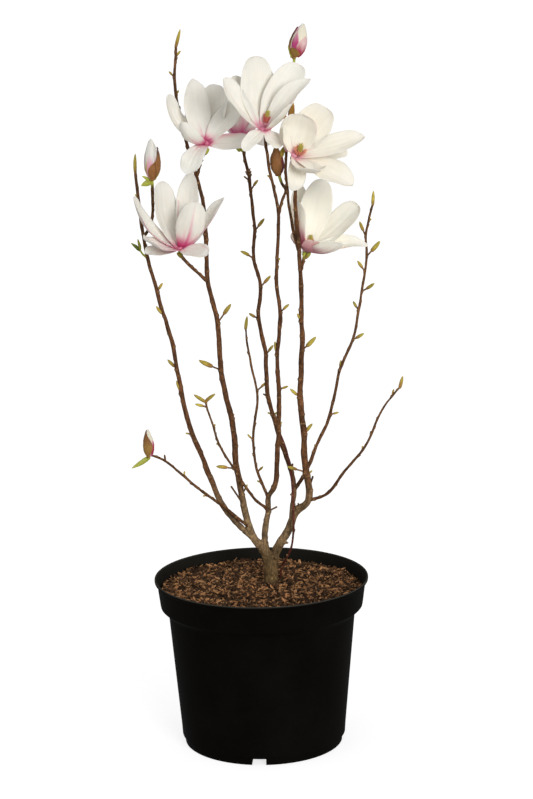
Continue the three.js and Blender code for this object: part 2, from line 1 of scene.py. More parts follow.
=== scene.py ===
# A saucer magnolia in flower in its round nursery pot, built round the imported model.
# Sizes are in millimetres, as in the part's source, until a piece is made.
# +X is right and +Y away from the viewer.
import math
from functools import partial
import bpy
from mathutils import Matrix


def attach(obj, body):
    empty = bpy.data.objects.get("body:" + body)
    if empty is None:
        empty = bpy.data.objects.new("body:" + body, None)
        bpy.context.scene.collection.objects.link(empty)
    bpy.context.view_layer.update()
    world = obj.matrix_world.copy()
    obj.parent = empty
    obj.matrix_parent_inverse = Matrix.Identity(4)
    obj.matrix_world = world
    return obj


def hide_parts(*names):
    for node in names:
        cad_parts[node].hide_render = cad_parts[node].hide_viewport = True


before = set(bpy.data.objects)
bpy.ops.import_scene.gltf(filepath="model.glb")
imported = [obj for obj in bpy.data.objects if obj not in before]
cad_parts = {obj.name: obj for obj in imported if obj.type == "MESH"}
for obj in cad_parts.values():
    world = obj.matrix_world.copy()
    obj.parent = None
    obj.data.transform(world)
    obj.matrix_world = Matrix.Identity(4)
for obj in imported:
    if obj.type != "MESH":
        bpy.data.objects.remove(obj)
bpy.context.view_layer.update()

from types import SimpleNamespace as Sizes

import bpy
import numpy as np
from mathutils import Matrix

MM = 0.001

# Camera: the photograph's, worked out from the pot's circles
CAMERA = Sizes(place=(0.010, -2.800, 1.030), pitch=0.212, roll=-0.017, focal_pixels=2387)
PHOTO = (533, 799)
SENSOR = 36

# The pot, its drain channels and the mulch in it. A channel's turn is in degrees from the right.
POT = Sizes(
    height=207.5, lip_radius=130.2, lip=1.6, collar_top=126.9, collar_foot=123.6, collar_z=172.5,
    wall_top=113.6, wall_foot=101, foot_radius=97, wall=2, floor=2.5, sides=240,
)
DRAIN = Sizes(count=4, turn=-93.7, width=17, height=8, inner=34, cover=1.8, hole=6, hole_at=72)
MULCH = Sizes(centre=196, edge=194, flat_radius=46, lump=0.8)

# Trunk and stems, as in the part's source. A fork is the height at which a bough leaves the trunk, and its
# own skin starts a little below that. A side bud is [height, side, stalk, bud, degrees from the stem].
TRUNK = Sizes(foot=(12, 15), head=(11.5, 14.5, 232), radius=(8.1, 9.3), flare=1.0, flare_height=6)
FORKS = {"left_inner": 251, "centre": 253, "right": 250}
BOUGH_OVERLAP = 4
STEMS = {
    "left_inner": dict(
        radius=(4.7, 1.6),
        bends=[
            (11, 14, 214), (5, 12, 234), (-10, 9, 256), (-20, 4, 297), (-28, 0, 350), (-31, -2, 398),
            (-43, -4, 457), (-47, -4, 525), (-58, -6, 580), (-58, 1, 615), (-61, 8, 662), (-80, 23, 738),
            (-92, 37, 800), (-90, 48, 846),
        ],
        buds=[
            (296, -1, 26, 0, 20), (309, 1, 5, 7), (405, 1, 1, 3), (465, -1, 9, 18, 66), (522, 1, 11, 15),
            (628, -1, 5, 0, 25), (790, 1, 1, 4), (810, -1, 3, 6), (833, 1, 2, 7, 30),
        ],
        tip=(5, 3, 20),
    ),
    "left_outer": dict(
        on="left_inner", radius=(3.9, 1.8),
        bends=[
            (-9, 9, 255), (-25, 8, 268), (-46, 4, 298), (-66, 0, 350), (-84, 0, 399), (-95, 0, 460),
            (-102, 1, 500), (-115, 2, 548), (-131, 6, 615), (-138, 18, 672), (-141, 26, 700),
        ],
        buds=[
            (386, -1, 2, 4, 60), (436, -1, 2, 13, 14), (466, -1, 3, 12), (531, -1, 2, 11, 25),
            (560, 1, 2, 9, 48), (671, -1, 1, 3),
        ],
        tip=(-1, 3, 22),
    ),
    "low_left": dict(
        on="left_inner", radius=(2.1, 1.3),
        bends=[(-14, 6, 268), (-37, -8, 292), (-77, -40, 332), (-110, -69, 370), (-128, -84, 382)],
        buds=[(318, -1, 1, 3, 60), (346, 1, 1, 5, 50)],
    ),
    "centre": dict(
        radius=(3.8, 1.6),
        bends=[
            (11, 14, 214), (5, 12, 253), (10, 9, 290), (10, 8, 304), (18, 0, 320), (22, -6, 360),
            (25, -14, 425), (24, -22, 492), (28, -28, 531), (24, -32, 572), (27, -46, 660), (18, -55, 709),
            (12, -60, 757),
        ],
        buds=[
            (278, -1, 13, 0, 12), (286, 1, 10, 0, 55), (398, 1, 1, 3), (443, 1, 3, 8, 72),
            (486, -1, 1, 13, 14), (538, 1, 4, 9, 50), (600, 1, 1, 3), (700, -1, 1, 3),
        ],
    ),
    "centre_left": dict(
        on="centre", radius=(1.9, 1.2),
        bends=[(10, 8, 304), (-3, 26, 334), (-7, 42, 368), (-1, 56, 420), (-9, 66, 460), (-14, 79, 500)],
        buds=[(320, -1, 1, 4), (332, 1, 2, 7, 60), (368, -1, 3, 6, 50), (426, 1, 6, 9, 56)],
        tip=(2, 1, 15),
    ),
    "low_centre": dict(
        on="centre", radius=(2, 1.1),
        bends=[
            (10, 9, 288), (-7, -3, 306), (-30, -24, 348), (-47, -40, 382), (-53, -50, 405), (-62, -66, 441),
        ],
        buds=[(349, -1, 8, 14, 45), (382, -1, 1, 2), (405, 1, 1, 3), (433, -1, 4, 10, 55), (438, 1, 1, 3)],
    ),
    "right": dict(
        radius=(5.2, 1.9),
        bends=[
            (12, 15, 214), (19, 14, 236), (34, 11, 262), (43, 7, 285), (58, -3, 301), (59, -6, 318),
            (55, -12, 350), (54, -15, 385), (50, -18, 434), (53, -22, 490), (52, -29, 590), (48, -40, 660),
            (47, -66, 728),
        ],
        buds=[
            (290, -1, 4, 0, 60), (316, 1, 15, 0, 20), (335, 1, 1, 5, 60), (339, -1, 9, 12, 70),
            (387, 1, 2, 12), (412, 1, 1, 2), (433, -1, 2, 11, 50), (491, 1, 5, 16, 48), (526, -1, 1, 8, 30),
        ],
    ),
    "back": dict(
        on="right", radius=(3.3, 1.8),
        bends=[
            (39, 9, 284), (41, 22, 322), (26, 42, 368), (11, 56, 426), (10, 64, 470), (2, 70, 517),
            (5, 74, 555), (-3, 80, 587), (-1, 84, 620), (-5, 90, 668), (-10, 94, 701), (-17, 94, 733),
        ],
        buds=[
            (330, 1, 9, 0, 20), (395, 1, 2, 4, 60), (398, -1, 2, 3, 60), (419, -1, 5, 0, 50), (469, 1, 4, 10),
            (513, -1, 4, 10, 62), (552, 1, 5, 12, 45), (586, -1, 5, 12, 50), (619, 1, 6, 12, 38),
            (668, 1, 6, 9, 42), (680, -1, 4, 3, 42),
        ],
        knobs=[(687, 1, 2.6), (691, 1, 2.2), (689, -1, 1.5), (704, -1, 1.0), (713, 1, 1.2), (721, -1, 1.0)],
    ),
    "right_outer": dict(
        on="back", radius=(2.4, 1.3),
        bends=[
            (40, 19, 308), (56, 24, 330), (69, 32, 359), (87, 42, 398), (100, 52, 451), (117, 60, 490),
            (129, 70, 549), (135, 76, 589), (134, 78, 611), (143, 83, 650),
        ],
        buds=[
            (359, -1, 1, 2), (398, 1, 3, 7, 58), (451, -1, 2, 9, 12), (487, 1, 4, 12, 48),
            (522, -1, 4, 9, 45), (545, 1, 6, 12, 55), (569, -1, 5, 11, 50), (587, 1, 8, 17, 42),
            (611, -1, 7, 12, 28), (630, 1, 1, 2),
        ],
        tip=(1, 2, 16),
    ),
    "low_right": dict(
        on="right", radius=(2.2, 1.1),
        bends=[
            (57, -3, 302), (81, -14, 313), (102, -30, 345), (126, -45, 378), (145, -58, 424), (166, -72, 455),
        ],
        buds=[(375, -1, 1, 2, 60), (443, -1, 2, 6, 30)],
        tip=(4, -3, 14),
    ),
    "basal_shoot": dict(
        radius=(1.4, 1.1),
        bends=[
            (23, 30, 197.1), (28.7, 17, 220.6), (35, 5, 236), (39, -2, 252), (40.5, -3, 280), (40, 1, 306),
            (38, 12, 333), (33, 16, 361), (25, 18, 383),
        ],
        buds=[(308, -1, 2.4, 0, 70)],
    ),
}
BUD_ANGLE, BUD_TURN, BUD_SEED, TIP_RADIUS = 42, 0.6, 7919, 2.1

# Short twigs that carry blooms and buds: the points they pass through, and their radius at both ends
SIDE_TWIGS = {
    "upper_left": ([(-67, 13, 697), (-63, 6, 712), (-58, -4, 727), (-56, -8, 737)], (1.7, 2)),
    "lower_left": ([(-58, -6, 573), (-72, -14, 588), (-86, -26, 606), (-88, -30, 617)], (1.9, 2)),
    "lower_right": ([(52, -29, 586), (57, -22, 601), (59, -18, 611)], (1.8, 2.1)),
    "left_outer_bud": ([(-132, 6, 626), (-123, 0, 641), (-120, -2, 670), (-120, -2, 698)], (1.7, 1.9)),
    "left_outer_leaves": ([(-128, 4, 600), (-134, 2, 606), (-137, 0, 612)], (1.2, 1)),
    "low_left_leaf": ([(-110, -69, 369), (-111, -70, 378)], (1.2, 1.1)),
    "centre_bud": (
        [(28, -46, 656), (33, -43, 675), (36, -42, 684), (31, -48, 694), (28, -50, 706)],
        (1.3, 1.9),
    ),
    "leader": (
        [(50, -31, 612), (42, -24, 650), (38, -14, 690), (39, -3, 740), (45, 8, 784), (50, 14, 836)],
        (1.7, 1.6),
    ),
    "leader_side": ([(42, 3, 762), (46, -5, 767), (48, -8, 770)], (1.1, 1)),
}
# How much of a twig's end is green, apart from the woody ones
GREEN_END, WOODY_TWIGS = 9, ("low_left_leaf", "leader_side")

# Blooms: a tepal is [x, y, z of its tip from the foot, width, bow, cup, turn], as in the part's source.
# `pink` is how strongly the outside and the inside of the tepals are coloured at their foot, and the tone
# after it multiplies their colours as painted light and shade, making a whole bloom lighter or darker. A mark
# is [streak along the midrib, reach of the pink, point, rim, painted shade]. The centre may stand a little
# off the foot, and its stamens are more or less coral and flared.
BLOOMS = {
    "upper_left": dict(
        foot=(-56, -8, 737), axis=(-0.1, -0.4, 0.9), pink=(1.0, 0.9), tone=(1.02, 1.01, 1.0),
        marks={0: (0, 0.4, 1.45), 1: (0, 0.4, 0.8), 4: (0.5, 0.62, 1.0), 6: (0, 0.4, 1.0, 0.8)},
        centre=dict(shift=(-5, 2, 0), lean=(-0.4, 0.1, 0.8), size=0.72),
        tepals=[
            (-13, 6, 75, 37, 0.12, 0.3, 25), (13, 24, 66, 37, 0.1, 0.25), (45, 14, 44, 35, -0.04, 0.3, 10),
            (-43, -2, 57, 26, 0.2, 0.35), (-26, -30, 27, 23, 0.2, 0.4, 40), (-21, -30, -34, 29, -0.12, 0.15),
            (53, -14, 3, 25, 0.05, 0.3, 25), (-13, 42, 42, 34, 0.12, 0.3),
        ],
    ),
    "lower_left": dict(
        foot=(-88, -30, 617), axis=(-0.05, -0.2, 0.98), pink=(1.1, 0.65), tone=(0.98, 0.97, 0.96),
        marks={
            2: (1.0, 0.5, 1.0), 3: (0.3, 0.55, 1.5, -0.8), 4: (0.35, 0.5, 1.4, 0.8), 5: (1.0, 0.75, 1.0, 0.8),
            6: (0.5, 0.8, 1.0),
        },
        centre=dict(shift=(4, 4, -1), lean=(0.25, 0.3, 0.9), size=0.7),
        tepals=[
            (-20, 17, 77, 40, 0.12, 0.25, 22), (13, 24, 86, 29, 0.08, 0.25),
            (20, -14, 56, 36, 0.14, 0.3, -80), (51, -4, 60, 26, 0.08, 0.35, 12),
            (-52, -14, 63, 31, 0.15, 0.35, -8), (-40, -36, 17, 34, 0.1, 0.3, -14),
            (-40, -20, -3, 26, 0.02, 0.3, -16), (32, -34, -2, 29, 0.02, 0.25, 14),
            (8, 50, 42, 34, 0.14, 0.3),
        ],
    ),
    "top_centre": dict(
        foot=(12, -60, 757), axis=(0.2, -0.5, 0.84), pink=(0.8, 0.62), tone=(1.03, 1.01, 0.98),
        marks={
            0: (0, 0.3, 0.8), 1: (0, 0.3, 0.75), 2: (0.2, 0.3, 1.3, -0.6), 4: (0.25, 0.3, 1.1),
            7: (0.2, 0.7, 1.0),
        },
        centre=dict(shift=(2.5, 2, 9), lean=(0.25, -0.2, 0.9), size=0.8, coral=0.1),
        tepals=[
            (-8, 18, 82, 46, 0.1, 0.25), (42, 22, 72, 40, -0.05, 0.25), (53, -6, 58, 27, -0.08, 0.4),
            (32, -24, 31, 24, 0.08, 0.4, -20), (-45, -6, 59, 33, 0.08, 0.35), (-34, 26, 59, 34, 0.1, 0.25),
            (-23, -30, -20, 19, -0.08, 0.2), (18, -11, -20, 23, 0.04, 0.2),
        ],
    ),
    "back": dict(
        foot=(-17, 94, 732), axis=(-0.1, 0.15, 0.98), pink=(1.15, 0.7), tone=(1.0, 1.0, 1.0),
        marks={0: (0.7, 0.7, 1.0), 1: (0.8, 0.75, 1.0), 2: (0.6, 0.6, 1.0), 4: (0.3, 0.5, 1.0)},
        centre=dict(lean=(-0.1, 0.15, 0.98), size=0.8),
        tepals=[
            (2, -24, 60, 31, 0.16, 0.3), (-22, -8, 46, 25, 0.06, 0.3), (35, -8, 48, 32, 0.12, 0.3),
            (-6, 30, 68, 34, 0.1, 0.3), (36, -12, -8, 30, 0.02, 0.2, 18), (28, 42, 38, 32, 0.12, 0.3),
            (-26, 36, 38, 28, 0.06, 0.25), (4, 54, -6, 28, -0.04, 0.2),
        ],
    ),
    "right": dict(
        foot=(47, -66, 728), axis=(0.45, -0.62, 0.64), pink=(0.55, 0.48), tone=(1.10, 1.06, 1.00),
        marks={0: (0, 0.3, 0.6), 1: (0, 0.3, 0.65), 2: (0, 0.3, 1.15), 4: (0, 0.3, 0.85)},
        centre=dict(shift=(5, 0, 1), lean=(0.2, -0.45, 0.8), size=0.85, coral=0.95, flare=0.75),
        tepals=[
            (36, 0, 54, 44, 0.08, 0.25), (9, -14, 47, 46, 0.14, 0.35, -40), (80, -10, 21, 30, 0.02, 0.3),
            (62, 14, 1, 22, 0.04, 0.25), (66, -18, -33, 40, -0.03, 0.2), (28, -42, -13, 38, 0.2, 0.42),
            (-2, -16, -39, 25, -0.1, 0.2), (20, 40, 32, 30, 0.1, 0.3), (-12, -18, 34, 18, 0.1, 0.3),
        ],
    ),
    "lower_right": dict(
        foot=(59, -18, 611), axis=(0.3, -0.3, 0.9), pink=(1.15, 0.4), tone=(1.14, 1.12, 1.06),
        # Tepals 3, 4, 5 and 8 are dulled towards mauve: painted shade.
        marks={
            0: (0, 0.3, 0.85), 1: (0, 0.3, 0.8), 2: (0.2, 0.4, 1.3, -0.5), 3: (0.6, 0.95, 1.0, 0, 0.8),
            4: (0.7, 0.9, 1.0, 0, 0.4), 5: (0.5, 0.9, 1.0, 0, 0.5), 8: (0.5, 2.3, 0.9, 0, 1.0),
        },
        centre=dict(shift=(5, 3, 4), lean=(0.15, 0.0, 0.95), size=0.75),
        tepals=[
            (22, 10, 81, 39, 0.09, 0.25), (62, 14, 51, 40, 0.07, 0.25), (73, -8, 7, 23, -0.05, 0.35, 20),
            (40, -34, 12, 28, 0.12, 0.35, -30), (-6, -12, 60, 26, 0.08, 0.35, 40), (-16, 8, 18, 21, 0.1, 0.3),
            (-6, 26, 74, 28, 0.08, 0.25), (26, 50, 28, 32, 0.12, 0.3), (9, -20, 13, 24, 0.28, 0.4),
        ],
    ),
}
TEPAL_RING, TEPAL_THICK, WIDEST, CLAW = 3.6, 0.9, 0.56, 0.4
PLAIN_MARK = (0.0, 0.4, 1.0)

# Plain base colours, linear
CREAM = (0.83, 0.80, 0.72)
INNER_CREAM = (0.86, 0.84, 0.77)
MAGENTA = (0.56, 0.06, 0.20)
# Painted shade: the dull mauve that shaded tepals are tinted towards
PAINTED_SHADE_MAUVE = (0.38, 0.15, 0.18)
ROSE = (0.78, 0.36, 0.45)
OLD_WOOD = (0.115, 0.070, 0.028)
GREY_WOOD = (0.185, 0.120, 0.060)
STEM_WOOD = (0.095, 0.038, 0.0135)
TWIG_WOOD = (0.125, 0.060, 0.022)
SHOOT_WOOD = (0.085, 0.020, 0.012)
SCAR_TAN = (0.34, 0.20, 0.09)
BUD_GREEN = (0.46, 0.37, 0.06)
BUD_TAN = (0.33, 0.18, 0.045)
STALK_GREEN = (0.40, 0.42, 0.06)
SCALE_BROWN = (0.25, 0.11, 0.035)
SCALE_DARK = (0.07, 0.03, 0.013)
RUST = (0.31, 0.135, 0.042)
BUTTER = (0.85, 0.78, 0.60)
CRIMSON = (0.42, 0.03, 0.08)
WINE = (0.16, 0.02, 0.03)
BLUSH = (0.80, 0.52, 0.50)
BUD_BROWN = (0.24, 0.12, 0.035)
BUD_ORANGE = (0.60, 0.30, 0.06)
LEAF_GREEN = (0.36, 0.38, 0.06)
DEEP_GREEN = (0.15, 0.22, 0.035)
STAMEN_RED = (0.52, 0.10, 0.09)
STAMEN_CORAL = (0.82, 0.36, 0.24)
PISTIL_GREEN = (0.46, 0.42, 0.07)
PORE_TAN = (0.33, 0.22, 0.12)
CRUMB_BROWN = (0.040, 0.022, 0.012)
# Black plastic: bare and under dust, outside and inside, the inside lighter as painted sheen; and the painted
# highlight along the lip
OUTER_BLACK, OUTER_DUST = (0.0022, 0.0018, 0.0013), (0.0042, 0.0036, 0.0027)
# Inside, the plastic is lighter: painted sheen, over its dust.
INNER_BLACK_PAINTED_SHEEN, INNER_DUST_PAINTED_SHEEN = (0.0105, 0.0095, 0.0075), (0.014, 0.013, 0.0105)
PAINTED_LIP_HIGHLIGHT = (0.055, 0.05, 0.042)


# Arithmetic

def mix(a, b, t):
    a, b = np.asarray(a, float), np.asarray(b, float)
    return a + (b - a) * t


def unit(v):
    v = np.asarray(v, float)
    return v / np.linalg.norm(v, axis=-1, keepdims=True)


def smooth(low, high, x):
    t = np.clip((np.asarray(x, float) - low) / (high - low), 0, 1)
    return t * t * (3 - 2 * t)


def hump(x, width):
    """1 at 0, and falling away on both sides."""
    return np.exp(-((x / width) ** 2))


GENERATOR = Sizes(factor=16807, limit=2147483647)


def seeded(seed):
    """The small generator of the part's source."""
    state = seed
    while True:
        state = (state * GENERATOR.factor) % GENERATOR.limit
        yield state / GENERATOR.limit


def ripples(points, size, seed, count=14):
    """A smooth random pattern from -1 to 1, with features of about `size`."""
    rng = np.random.default_rng(seed)
    ways = unit(rng.normal(size=(count, 3))) * rng.uniform(0.6, 1.5, (count, 1)) * (2 * np.pi / size / 2)
    return np.sin(points @ ways.T + rng.uniform(0, 2 * np.pi, count)).sum(-1) / math.sqrt(count) * 0.8


STEPS_PER_BEND, HEIGHT_STEPS = 40, 2000


class Limb:
    """A smooth line through bends, as the part's source has it, walked by its length."""

    def __init__(self, bends):
        p = np.array(bends, float)
        p = np.vstack([2 * p[0] - p[1], p, 2 * p[-1] - p[-2]])
        line = []
        t = np.linspace(0, 1, STEPS_PER_BEND, endpoint=False)[:, None]
        for a, b, c, d in zip(p, p[1:], p[2:], p[3:]):
            ab, bc, cd = (np.linalg.norm(v) ** 0.5 for v in (b - a, c - b, d - c))
            start = ((b - a) / ab - (c - a) / (ab + bc) + (c - b) / bc) * bc
            end = ((c - b) / bc - (d - b) / (bc + cd) + (d - c) / cd) * bc
            square, cube = 3 * (c - b) - 2 * start - end, 2 * (b - c) + start + end
            line.append(b + start * t + square * t**2 + cube * t**3)
        self.line = np.vstack([*line, p[-2:-1]])
        steps = np.linalg.norm(np.diff(self.line, axis=0), axis=1)
        self.walk = np.concatenate([[0], np.cumsum(steps)])
        self.length = self.walk[-1]

    def at(self, share):
        walked = np.clip(share, 0, 1) * self.length
        return np.stack([np.interp(walked, self.walk, self.line[:, k]) for k in range(3)], -1)

    def along(self, share, reach=0.6):
        step = reach / self.length
        return unit(self.at(np.add(share, step)) - self.at(np.subtract(share, step)))

    def share_at(self, height):
        shares = np.linspace(0, 1, HEIGHT_STEPS + 1)
        return float(shares[np.argmax(self.at(shares)[:, 2] >= height)])


def turns(sides):
    """Even steps once round."""
    return np.linspace(0, 2 * np.pi, sides, endpoint=False)


def around(turn, right, front):
    """The directions at some turns, of which 0 is right and a quarter is front."""
    turn = np.asarray(turn, float)[..., None]
    return np.cos(turn) * right + np.sin(turn) * front


def patch(rows, columns):
    """An even grid: the share of the length, from 0 to 1, and the side, from -1 to 1."""
    return np.meshgrid(np.linspace(0, 1, rows), np.linspace(-1, 1, columns), indexing="ij")


def sides_of(along):
    """The directions to the right of each tangent and towards the viewer from it."""
    along = unit(np.atleast_2d(along))
    steep = np.abs(along[:, 1:2]) > 0.92
    depth = np.where(steep, (1.0, 0, 0), (0, 1.0, 0))
    right = unit(np.cross(depth, along))
    return right, np.cross(right, along)


def sides_of_one(along):
    """The same for one tangent."""
    return (each[0] for each in sides_of(along))


# Meshes

WAY_STEP = 0.4


class Pile:
    """Points and faces gathered into one mesh. A face has a finish, by number. A point has a tint, and a
    way: its place along and across what it is on, for patterns that follow the grain. Each shape's way starts
    somewhere else, so that no two look alike."""

    def __init__(self):
        self.points, self.tints, self.ways, self.faces, self.finishes, self.count = [], [], [], [], [], 0

    def add(self, points, faces, tint=(1, 1, 1), finish=0, way=None):
        points = np.asarray(points, float).reshape(-1, 3)
        self.points.append(points)
        self.tints.append(np.broadcast_to(np.asarray(tint, float), points.shape))
        shift = (0, 0, self.count * WAY_STEP)
        self.ways.append(points if way is None else np.asarray(way, float).reshape(-1, 3) + shift)
        for block in faces:
            block = np.asarray(block, int)
            if len(block):
                self.faces.append(block + self.count)
                self.finishes.append(np.full(len(block), finish))
        self.count += len(points)

    def mesh(self, name):
        points = np.vstack(self.points) * MM
        mesh = bpy.data.meshes.new(name)
        mesh.vertices.add(len(points))
        mesh.vertices.foreach_set("co", points.astype(np.float32).ravel())
        sizes = np.concatenate([np.full(len(b), b.shape[1]) for b in self.faces])
        corners = np.concatenate([b.ravel() for b in self.faces])
        mesh.loops.add(len(corners))
        mesh.loops.foreach_set("vertex_index", corners.astype(np.int32))
        mesh.polygons.add(len(sizes))
        mesh.polygons.foreach_set("loop_start", (np.cumsum(sizes) - sizes).astype(np.int32))
        mesh.polygons.foreach_set("material_index", np.concatenate(self.finishes).astype(np.int32))
        mesh.polygons.foreach_set("use_smooth", np.ones(len(sizes), bool))
        paint(mesh, np.vstack(self.tints), np.vstack(self.ways))
        mesh.update(calc_edges=True)
        mesh.validate()
        return mesh


def paint(mesh, tints, ways):
    """Gives each point its tint and its way."""
    tint = mesh.color_attributes.new("tint", "FLOAT_COLOR", "POINT")
    tint.data.foreach_set("color", np.hstack([tints, np.ones((len(tints), 1))]).astype(np.float32).ravel())
    way = mesh.attributes.new("way", "FLOAT_VECTOR", "POINT")
    way.data.foreach_set("vector", (ways * MM).astype(np.float32).ravel())


def placed(name, data):
    """A new object in the scene."""
    made = bpy.data.objects.new(name, data)
    bpy.context.scene.collection.objects.link(made)
    return made


def show(mesh, materials, replaced=(), crease=None):
    """Makes a piece of a mesh, riding on the plant's one body."""
    piece = placed(mesh.name, mesh)
    mesh.materials.clear()
    for each in materials:
        mesh.materials.append(each)
    if crease:
        mesh.set_sharp_from_angle(angle=math.radians(crease))
    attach(piece, "root")
    if replaced:
        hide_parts(*replaced)
    return piece


def rings(count, sides):
    """Quads between rings of points."""
    ring, side = np.meshgrid(np.arange(count - 1), np.arange(sides), indexing="ij")
    here, there = ring * sides, (side + 1) % sides
    return np.stack([here + side, here + there, here + there + sides, here + side + sides], -1).reshape(-1, 4)


def closed_rings(count, sides):
    """Quads between closed rings, and a fan at each end, whose middles are the two points after the rings."""
    ring = np.arange(sides)
    after = (ring + 1) % sides
    foot = count * sides
    start = np.stack([after, ring, np.full(sides, foot)], -1)
    end = np.stack([ring, after, np.full(sides, foot + 1)], -1) + [[(count - 1) * sides] * 2 + [0]]
    return [rings(count, sides), start, end]


def tube(pile, centres, radii, sides, tint=(1, 1, 1), squeeze=1.0, along=None):
    """A closed tube. Radii and tints are one for each ring, or one for each ring and side."""
    right, front = sides_of(np.gradient(centres, axis=0) if along is None else along)
    turn = turns(sides)
    radii = np.asarray(radii, float)
    radii = radii[:, None] * np.ones(sides) if radii.ndim == 1 else radii
    skin = centres[:, None] + around(turn, right[:, None], front[:, None] * squeeze) * radii[..., None]
    points = np.vstack([skin.reshape(-1, 3), centres[:1], centres[-1:]])
    walked = np.concatenate([[0], np.cumsum(np.linalg.norm(np.diff(centres, axis=0), axis=1))])
    way = np.stack([radii * np.cos(turn), radii * np.sin(turn), walked[:, None] * np.ones(sides)], -1)
    way = np.vstack([way.reshape(-1, 3), (0, 0, 0), (0, 0, walked[-1])])
    if np.ndim(tint) == 2:
        tint = np.repeat(tint[:, None], sides, 1)
    if np.ndim(tint) == 3:
        tint = np.vstack([tint.reshape(-1, 3), tint[0, :1], tint[-1, :1]])
    pile.add(points, closed_rings(len(centres), sides), tint, way=way)


def lathe(profile, sides):
    """A turned shape: its profile of [radius, height] round the axis. Ends on the axis are closed."""
    profile = np.asarray(profile, float)
    turn, wide, high = turns(sides), profile[1:-1, :1], profile[1:-1, 1:]
    skin = np.stack([wide * np.cos(turn), wide * np.sin(turn), high * np.ones(sides)], -1)
    points = np.vstack([skin.reshape(-1, 3), [(0, 0, profile[0, 1]), (0, 0, profile[-1, 1])]])
    return points, closed_rings(len(wide), sides)


def sheet(pile, grid, lift, thick, tint_in, tint_out, finish=0, way=None):
    """A thin closed blade: a grid of points, thickened along `lift`, with its own tint on each face."""
    rows, columns = grid.shape[:2]
    inner, outer = grid + lift * thick / 2, grid - lift * thick / 2
    order = np.arange(rows * columns).reshape(rows, columns)
    faces = np.stack([order[:-1, :-1], order[:-1, 1:], order[1:, 1:], order[1:, :-1]], -1).reshape(-1, 4)
    loop = np.concatenate([order[0, :-1], order[:-1, -1], order[-1, :0:-1], order[:0:-1, 0]])
    after = np.roll(loop, -1)
    size = rows * columns
    rim = np.stack([after, loop, loop + size, after + size], -1)
    points = np.vstack([inner.reshape(-1, 3), outer.reshape(-1, 3)])
    tint = np.vstack([tint_in.reshape(-1, 3), tint_out.reshape(-1, 3)])
    if way is not None:
        way = np.vstack([way.reshape(-1, 3)] * 2)
    pile.add(points, [faces, faces[:, ::-1] + size, rim], tint, finish, way)


# Materials

class Shader:
    """A principled material, built node by node."""

    def __init__(self, name, **values):
        self.material = bpy.data.materials.new(name)
        self.material.use_nodes = True
        self.nodes, self.links = self.material.node_tree.nodes, self.material.node_tree.links
        self.principled = self.nodes["Principled BSDF"]
        for socket, value in values.items():
            self.principled.inputs[socket.replace("_", " ")].default_value = value
        self.place = self.nodes.new("ShaderNodeTexCoord").outputs["Object"]
        self.way = self.node("Attribute", attribute_name="way").outputs["Vector"]

    def node(self, kind, *links, **values):
        made = self.nodes.new("ShaderNode" + kind)
        for name, value in values.items():
            if hasattr(made, name):
                setattr(made, name, value)
            else:
                made.inputs[name].default_value = value
        for socket, source in links:
            self.links.new(source, made.inputs[socket])
        return made

    def to(self, socket, source):
        self.links.new(source, self.principled.inputs[socket])

    def noise(self, scale, detail=4.0, roughness=0.55, stretch=None):
        """A cloudy pattern. With a stretch it follows the grain, drawn out along it by that much."""
        place = self.place
        if stretch:
            mapping = self.node("Mapping", ("Vector", self.way))
            mapping.inputs["Scale"].default_value = (1, 1, 1 / stretch)
            place = mapping.outputs["Vector"]
        made = self.node("TexNoise", ("Vector", place), Scale=scale, Detail=detail, Roughness=roughness)
        return made.outputs["Fac"]

    def spots(self, scale, size, soft):
        """1 in small round spots and 0 between them."""
        cells = self.node("TexVoronoi", ("Vector", self.place), Scale=scale, Randomness=1.0)
        return self.span(cells.outputs["Distance"], size, size + soft, 1, 0)

    def span(self, source, low, high, to_low, to_high):
        made = self.node("MapRange", ("Value", source))
        for socket, value in zip(("From Min", "From Max", "To Min", "To Max"), (low, high, to_low, to_high)):
            made.inputs[socket].default_value = value
        return made.outputs["Result"]

    def tint(self):
        return self.node("Attribute", attribute_name="tint").outputs["Color"]

    def blend(self, share, a, b, kind="MIX"):
        made = self.node("Mix", data_type="RGBA", blend_type=kind)
        for index, source in ((0, share), (6, a), (7, b)):
            if isinstance(source, (int, float)):
                made.inputs[index].default_value = source
            elif isinstance(source, tuple):
                made.inputs[index].default_value = (*source, 1)
            else:
                self.links.new(source, made.inputs[index])
        return made.outputs[2]

    def shade(self, base, pattern, low, high, dark, light):
        """A colour made darker and lighter by a pattern."""
        level = self.span(pattern, low, high, dark, light)
        grey = self.node("CombineColor", ("Red", level), ("Green", level), ("Blue", level)).outputs["Color"]
        return self.blend(1.0, base, grey, "MULTIPLY")

    def sum(self, *sources):
        total = sources[0]
        for each in sources[1:]:
            total = self.node("Math", (0, total), (1, each), operation="ADD").outputs[0]
        return total

    def times(self, source, factor):
        made = self.node("Math", (0, source), operation="MULTIPLY")
        if isinstance(factor, (int, float)):
            made.inputs[1].default_value = factor
        else:
            self.links.new(factor, made.inputs[1])
        return made.outputs[0]

    def bump(self, height, strength, distance):
        made = self.node("Bump", ("Height", height), Strength=strength, Distance=distance)
        self.to("Normal", made.outputs["Normal"])


